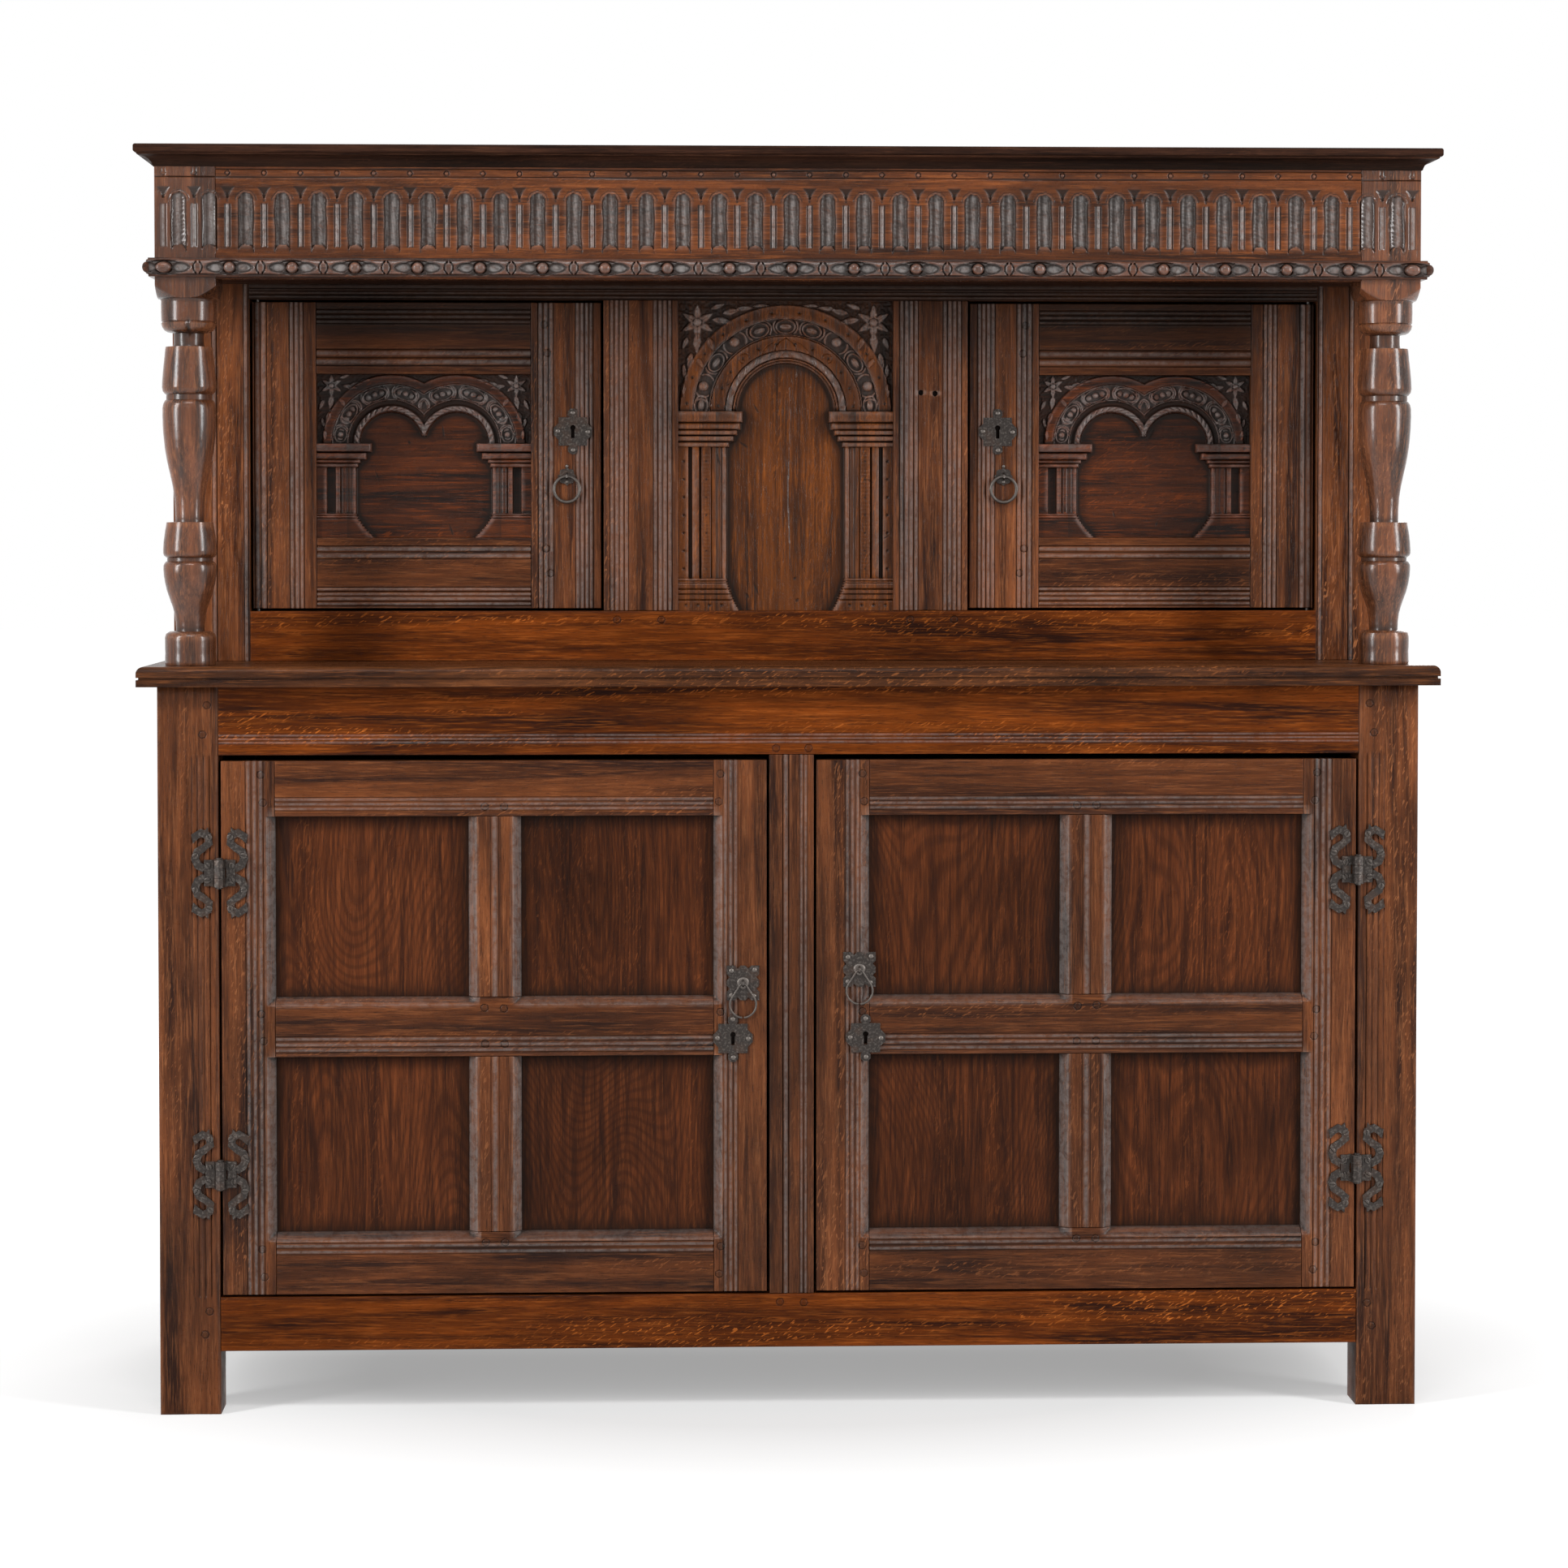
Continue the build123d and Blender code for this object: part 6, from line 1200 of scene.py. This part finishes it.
def bead_moulding():
    """The bead moulding across the front and back along both sides, mitred at the corners."""

    def across_front(x, out, z):
        spread = np.maximum(out, 0) * np.clip(x / 24, -1, 1) * np.clip((np.abs(x) - 790) / 26, 0, 1)
        return x + spread, FRONT - out, z

    def along_side(way):
        def place(a, out, z):
            spread = np.clip((way * a - 150) / 108, 0, 1)
            return -way * (HALF + out), -way * a - np.maximum(out, 0) * spread, z

        return place

    bead = Pieces()
    bead.board(bead_field(-HALF, HALF, 0.85, 0), FRONT, FRONT + 0.5, 0.4, across_front)
    for way in (1, -1):
        field = bead_field(-CASE_BACK, -FRONT, 0.95, 18)
        if way < 0:
            field.x = -field.x[:, ::-1]
            field.h, field.dark, field.painted_sheen = (grid[:, ::-1] for grid in (field.h, field.dark, field.painted_sheen))
        bead.board(field, 0, -0.5, 0.2, along_side(way))
    bead.finish("carved_bead", CARVED_OAK, "carcass", "oak_carved", ("bead_moulding",), 55)


# The cove's outline, as (out from the case, height)
CORNICE = (
    (-6.0, 1608), (0.0, 1608), (1.6, 1608.3), (2.2, 1610.5), (3.4, 1613.5), (5.8, 1616.4), (9.2, 1618.8),
    (13.4, 1620.6), (17.6, 1621.5), (19.4, 1621.7), (20.0, 1622.3), (20.0, 1624.0), (-6.0, 1624.0),
)


def cornice():
    """The cove under the top board, mitred round the front and both sides."""
    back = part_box("cornice_moulding")[1][1] / MM
    out, z = np.array(CORNICE).T
    side = np.linspace(0, 1, 30)
    legs = [np.stack([-HALF - out, back + (FRONT - out - back) * t, z], -1) for t in side[:-1]]
    legs += [np.stack([(-HALF - out) * (1 - 2 * t), FRONT - out, z], -1) for t in np.linspace(0, 1, 120)[:-1]]
    legs += [np.stack([HALF + out, (FRONT - out) + (back - FRONT + out) * t, z], -1) for t in side]
    grid = np.stack(legs)
    rng = np.random.default_rng(91)
    grid[:, 2:11, 2] += rng.normal(0, 0.12, (len(legs), 1))
    # painted shade with grime, darkest at the back of the cove and fading to none at its nose
    grime_and_shade = np.tile(np.interp(out, (-6, 0, 6, 18, 20), (0.9, 0.9, 0.35, 0.2, 0.0)), len(legs))
    wear = np.tile(np.interp(out, (-6, 17, 20), (0, 0, 0.7)), len(legs))
    made = Pieces()
    made.tube(grid, grime_and_shade, wear, 0.2)
    made.finish("cornice_cove", DARK_OAK, "carcass", "oak_frame", ("cornice_moulding",), 30)


# A column's outline, as (height, radius): foot, lower vase, ring, upper vase, ring and capital
COLUMN_OUTLINE = (
    (968, 30), (968.4, 32.4), (971, 33), (985, 32.6), (990, 32.9), (1004, 33), (1009, 31.5), (1012, 27),
    (1012.5, 18.6), (1016, 18.4),
    (1017, 18.6), (1024, 18.9), (1034, 20.2), (1044, 22.8), (1054, 26.4), (1064, 29.8), (1074, 32.2),
    (1084, 33.8), (1092, 34.4), (1097, 34.2), (1100, 33.0), (1102, 31.2),
    (1102.8, 29.6), (1107, 29.5), (1108, 31.2), (1110, 33.6), (1113, 34.6), (1118, 34.6), (1128, 34.0),
    (1140, 32.4), (1149, 30.8), (1153, 30.2), (1153.6, 18.8), (1156, 18.4),
    (1157, 18.6), (1170, 18.8), (1185, 19.8), (1200, 22.0), (1215, 25.2), (1230, 28.6), (1245, 31.2),
    (1260, 33.0), (1275, 34.1), (1290, 34.6), (1300, 34.5), (1306, 33.4), (1310, 31.2),
    (1310.8, 29.6), (1317.4, 29.5), (1318.6, 31.4), (1322, 34.0), (1327, 35.0), (1336, 34.6), (1350, 33.4),
    (1366, 31.6), (1376, 30.6), (1379, 30.0), (1379.8, 20.5), (1383, 19.4), (1396, 19.4), (1397, 20.6),
    (1397.8, 27.0), (1400, 31.0), (1404, 34.0), (1409, 35.4), (1411, 34.2), (1412, 35.2), (1424, 35.6),
    (1438, 35.4), (1440, 36.5), (1440.6, 39.0),
)


COLUMN_X, COLUMN_Y = 777.0, -219  # a column's axis
BLOCK = 39  # half the width of the square head
HEAD_FOOT, HEAD_SQUARE = 1440, 1441.6
COLUMN_SIDES = 256


def column(made, way, seed, tone):
    """A turned column, square at the head, where its front face is carved as the frieze."""
    outline = np.array(COLUMN_OUTLINE, float)
    turned = [outline[0, 0]]
    for low, high in zip(outline[:-1, 0], outline[1:, 0]):
        turned += list(np.linspace(low, high, max(2, int((high - low) / 3.0) + 1))[1:])
    head = np.concatenate([
        np.linspace(HEAD_SQUARE, 1464, 18), np.linspace(1466, 1498, 12), np.linspace(1499, 1602, 88),
        [1612, FRIEZE_TOP],
    ])
    heights = np.concatenate([turned, head])
    radius = np.concatenate([np.interp(turned, outline[:, 0], outline[:, 1]), BLOCK + (head - HEAD_FOOT)])
    turn = (np.arange(COLUMN_SIDES) + 0.5) / COLUMN_SIDES * 2 * np.pi - np.pi / 4
    z = np.repeat(heights[:, None], COLUMN_SIDES, 1)
    square = BLOCK / np.maximum(np.abs(np.cos(turn)), np.abs(np.sin(turn)))
    reach = np.minimum(radius[:, None], square)
    rng = np.random.default_rng(seed)
    ring = rng.normal(0, 0.04, len(heights))
    reach = reach + np.where(z < HEAD_FOOT, ring[:, None] + 0.2 * np.sin(turn * 2 + z * 0.004), 0)
    x, y = np.clip(reach * np.cos(turn), -BLOCK, BLOCK), reach * np.sin(turn)

    front = (y < -BLOCK + 0.8) & (z > 1458)
    along = x - COLUMN_X * way
    carved = frieze_height(along, z)
    y = np.where(front, -BLOCK - np.minimum(carved, 0), y)
    # painted highlights and painted shade of the frieze on the head's carved front
    painted_sheen, grime_and_shade = frieze_look(along, z, carved)
    painted_sheen, deep = np.where(front, painted_sheen, 0), np.where(front, np.clip(grime_and_shade, 0, 1), 0)
    if way > 0:
        # a split in the left capital, painted dark inside as shade
        split = np.exp(-(((x - 3) / 3.4) ** 2) - ((z - 1403) / 11) ** 2) * (y < 0)
        y = y + 4.5 * split
        deep = np.maximum(deep, split)
    # painted shade in the turned hollows, the split and the head's cuts; wear on the rings' rises
    around = [blurred(radius[:, None], (0, cells)) for cells in (3, 2)]
    hollow = np.clip((around[0] - radius[:, None]) / 3.5, 0, 1)
    proud = np.clip((radius[:, None] - around[1]) / 2.0 - 0.15, 0, 1)
    below = z < HEAD_FOOT + 1
    shade_and_grime = np.maximum(0.7 * hollow * below, deep)
    grid = np.stack([along, y + COLUMN_Y, z], -1)
    painted_sheen = np.clip(painted_sheen, 0, 1)
    made.tube(grid, shade_and_grime.ravel(), (proud * below * 0.8).ravel(), tone, painted_sheen.ravel(), flip=True)


def columns():
    """Both columns as one piece."""
    made = Pieces()
    for way, seed, tone in ((1, 81, 0.1), (-1, 82, 0.3)):
        column(made, way, seed, tone)
    made.finish("turned_columns", COLUMN_OAK, "carcass", "oak_carved", ("columns",), 40)


# Ironwork ---------------------------------------------------------------------------------
# Heads of fixings, as (radius, height) rings from the rim in
NAIL = ((3.4, 0.0), (3.3, 0.8), (2.6, 1.5), (1.3, 2.0), (0.2, 2.1))
PIN = ((2.2, 0), (2.0, 0.6), (1.2, 1.1), (0.2, 1.2))
SCREW = (
    (4.1, 0.0), (4.05, 0.9), (3.7, 1.25), (3.1, 1.4), (2.5, 1.5), (1.9, 1.55),
    (1.3, 1.6), (0.7, 1.6), (0.15, 1.6),
)
STUD = ((8.0, 0.0), (7.6, 0.9), (6.0, 1.6), (4.2, 1.8), (4.0, 0.6))
SLOT_HALF, SLOT_DEEP = 0.55, 0.9


def ring_angles(sides):
    """Even angles round a ring."""
    return np.arange(sides) / sides * 2 * np.pi


def knob(made, place, outline, slot_turn=None):
    """A small hammered head facing the front, or a turned one whose slot is at an angle."""
    x, y, z = place
    slotted = slot_turn is not None
    angles = ring_angles(24 if slotted else 16)
    wobble = 1 + (0.0 if slotted else 0.05) * np.sin(3 * angles + x)
    rings = []
    for radius, out in outline:
        dx, dz = radius * wobble * np.cos(angles), radius * wobble * np.sin(angles)
        height = np.full(len(angles), float(out))
        if slotted and radius < outline[0][0] - 0.05:
            across = -dx * math.sin(slot_turn) + dz * math.cos(slot_turn)
            height -= np.where(np.abs(across) < SLOT_HALF, SLOT_DEEP, 0.0)
        rings.append(np.stack([x + dx, y - height, z + dz], -1))
    grime_and_shade = np.zeros((len(outline), len(angles)))
    grime_and_shade[0] = 0.6
    made.tube(np.stack(rings), grime_and_shade.ravel(), 0.25 if slotted else 0.6, flip=True)


def wire(made, path, radius, sides, closed=False):
    """A round wire along points in a plane that faces the front."""
    path = np.array(path, float)
    ahead = np.roll(path, -1, axis=0) - np.roll(path, 1, axis=0)
    if not closed:
        ahead[0], ahead[-1] = path[1] - path[0], path[-1] - path[-2]
    ahead /= np.linalg.norm(ahead, axis=1)[:, None]
    side = np.stack([-ahead[:, 2], np.zeros(len(path)), ahead[:, 0]], -1)
    angles = ring_angles(sides)[None, :, None]
    reach = radius * (1 + 0.05 * np.sin(np.arange(len(path)) * 0.9))
    spokes = np.cos(angles) * side[:, None, :] + np.sin(angles) * np.array([0.0, -1.0, 0.0])
    made.tube(path[:, None, :] + reach[:, None, None] * spokes, 0.0, 0.35, closed=closed)


def middle_of(node):
    """A node's middle and its size, in millimetres."""
    low, high = (np.array(corner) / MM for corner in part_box(node))
    return (low + high) / 2, high - low


# Radii of the wires, how far their middles lie inside the nodes' boxes, and the drop's head
RING_WIRE, RING_INSET = 2.15, 2.2
DROP_WIRE, DROP_INSET, DROP_HEAD = 1.4, 1.5, 5.0


def rings():
    """The rings on the upper doors."""
    for side in ("left", "right"):
        node = f"upper_{side}_door_ring"
        middle, size = middle_of(node)
        bend = size[0] / 2 - RING_INSET
        turns = ring_angles(72)
        path = [(middle[0] + bend * math.cos(t), middle[1], middle[2] + bend * math.sin(t)) for t in turns]
        made = Pieces()
        wire(made, path, RING_WIRE, 14, closed=True)
        made.finish(f"ring_{side}", IRON, node, "iron", (node,), 60)


def drops():
    """The pear-shaped drops on the lower doors, whose ends curl apart at the foot."""
    for side in ("left", "right"):
        node = f"lower_{side}_door_drop"
        middle, size = middle_of(node)
        bowl = size[0] / 2 - DROP_INSET
        low = middle[2] - size[2] / 2 + DROP_INSET + bowl
        high = middle[2] + size[2] / 2 - DROP_INSET - DROP_HEAD
        lean = math.degrees(math.asin((bowl - DROP_HEAD) / (high - low)))
        bowl_turns = [math.radians(a) for a in range(4, int(90 + lean) + 1, 4)]
        head_turns = [math.radians(a) for a in range(int(lean), 91, 8)]
        half = [(bowl * math.sin(a), low - bowl * math.cos(a)) for a in bowl_turns]
        half += [(DROP_HEAD * math.cos(a), high + DROP_HEAD * math.sin(a)) for a in head_turns]
        path = [(middle[0] + x, middle[1], z) for x, z in half]
        path += [(2 * middle[0] - x, y, z) for x, y, z in path[::-1]]
        made = Pieces()
        wire(made, path, DROP_WIRE, 12)
        made.finish(f"drop_{side}", IRON, node, "iron", (node,), 60)


# Places of fixings from the middle of what they hold
KEY_NAILS = ((-20, 0.5), (20, -0.5), (0, 25), (0.5, -25))
HANDLE_NAILS = ((-15, 16), (15, 17), (-15, -16), (14, -17))
RING_PINS = ((0, 10.5), (0, -10.5))
HINGE_SCREWS = ((15.0, 9.5), (15.5, -9.5), (31.0, 22.0), (31.0, -22.0), (13.5, 46.0), (13.5, -46.0))
HINGE_X, HINGE_RISES = -736.5, (312.0, 702.0)
RING_AT = (-293.0, 1218)
NAIL_SEAT, SCREW_SEAT = 1.5, 2.5  # how far their rims stand before a door's face


def knobs(made, middle, offsets, face, outline):
    """Heads on a plate's face round its middle."""
    for dx, dz in offsets:
        knob(made, (middle[0] + dx, face - NAIL_SEAT, middle[1] + dz), outline)


def fixings():
    """Nails in the lock and handle plates, and slotted screws in the hinges."""
    for side, way in HANDS:
        lower, post, upper = Pieces(), Pieces(), Pieces()
        knobs(lower, LOWER_KEYS[way], KEY_NAILS, FRONT, NAIL)
        knobs(lower, HANDLES[way], HANDLE_NAILS, FRONT, NAIL)
        knobs(lower, HANDLES[way], ((0, 0),), FRONT, STUD)
        for rise in HINGE_RISES:
            for i, (out, up) in enumerate(HINGE_SCREWS):
                turn = 0.7 * i + rise
                knob(lower, (way * (HINGE_X + out), FRONT - SCREW_SEAT, rise + up), SCREW, turn)
                knob(post, (way * (HINGE_X - out), FRONT - SCREW_SEAT, rise + up), SCREW, turn + 1)
        knobs(upper, (way * UPPER_KEY[0], UPPER_KEY[1]), KEY_NAILS, DOOR_FACE, NAIL)
        knobs(upper, (way * RING_AT[0], RING_AT[1]), RING_PINS, DOOR_FACE, PIN)
        lower.finish(f"fixings_lower_{side}", IRON, f"lower_{side}_door", "iron", (), 45)
        post.finish(f"hinge_screws_{side}", IRON, "carcass", "iron", (), 45)
        upper.finish(f"fixings_upper_{side}", IRON, f"upper_{side}_door", "iron", (), 45)


METAL_EDGE, WORN_EDGE, ROUGH_EDGE = 0.4, 0.9, 2.6


def finish_nodes():
    """Gives every CAD node its material, and softened edges but for the columns and the bead moulding."""
    for name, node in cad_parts.items():
        finish = CASE_FINISH.get(name) or DOOR_FINISH[name.rsplit("_", 1)[1]]
        node.data.materials.clear()
        node.data.materials.append(finish)
        if name in ("columns", "bead_moulding"):
            continue
        metal = finish in (IRON, STEEL)
        worn = node.modifiers.new("worn_edges", "BEVEL")
        worn.width = (METAL_EDGE if metal else ROUGH_EDGE if name in RAW_NODES else WORN_EDGE) * MM
        worn.segments = 1 if metal else 2
        worn.limit_method = "ANGLE"
        worn.angle_limit = math.radians(30)


def add_stage():
    """A pale floor that keeps the cupboard's soft shadow."""
    bpy.ops.mesh.primitive_plane_add(size=80.0, location=(0, 0, 0))
    floor = bpy.context.object
    floor.name = "floor"
    material = bpy.data.materials.new("floor")
    s = Nodes(material)
    paper = s.node("ShaderNodeBsdfDiffuse", {"Color": (0.5, 0.5, 0.5, 1)})
    oval = s.mapped(s.place(), (0.62, 1.0, 1.0))
    spot = s.node("ShaderNodeVectorMath", {0: oval}, operation="LENGTH").outputs["Value"]
    strength = s.maths("MULTIPLY", s.backdrop_rays(), s.ramp(spot, 0.35, 1.25, 0.36, 1.0))
    glow = s.node("ShaderNodeEmission", {"Strength": strength})
    s.surface(s.node("ShaderNodeAddShader", {0: paper.outputs[0], 1: glow.outputs[0]}))
    floor.data.materials.append(material)


def add_world():
    """White all round for what looks at the backdrop, and a low even light on the cupboard."""
    world = bpy.data.worlds.new("world")
    bpy.context.scene.world = world
    s = Nodes(world)
    strength = s.ramp(s.backdrop_rays(), 0.0, 1.0, 0.10, 1.0)
    background = s.node("ShaderNodeBackground", {"Color": (1, 1, 1, 1), "Strength": strength})
    s.node("ShaderNodeOutputWorld", {"Surface": background.outputs[0]})


AT_FRONT, AT_MIDDLE = (0.0, -0.1, 0.9), (0.0, 0.0, 0.8)

add_camera()
add_stage()
add_world()
for lamp_name, lamp_x in (("left_lamp", -3.5), ("right_lamp", 3.5)):
    add_light(lamp_name, (lamp_x, -2.3, 2.1), AT_FRONT, 0.7, 2.8, 150)
add_light("front_lamp", (-0.5, -3.4, 4.8), AT_MIDDLE, 2.4, 0.8, 70)
add_light("back_lamp", (0.8, 4.6, 2.6), AT_MIDDLE, 3.0, 1.6, 120)
finish_nodes()
lower_case()
for hand, direction in HANDS:
    lower_door(hand, direction)
upper_case()
for hand, direction in HANDS:
    upper_door(hand, direction)
frieze_board()
bead_moulding()
columns()
cornice()
rings()
drops()
fixings()

bpy.context.scene.view_settings.view_transform = "Standard"
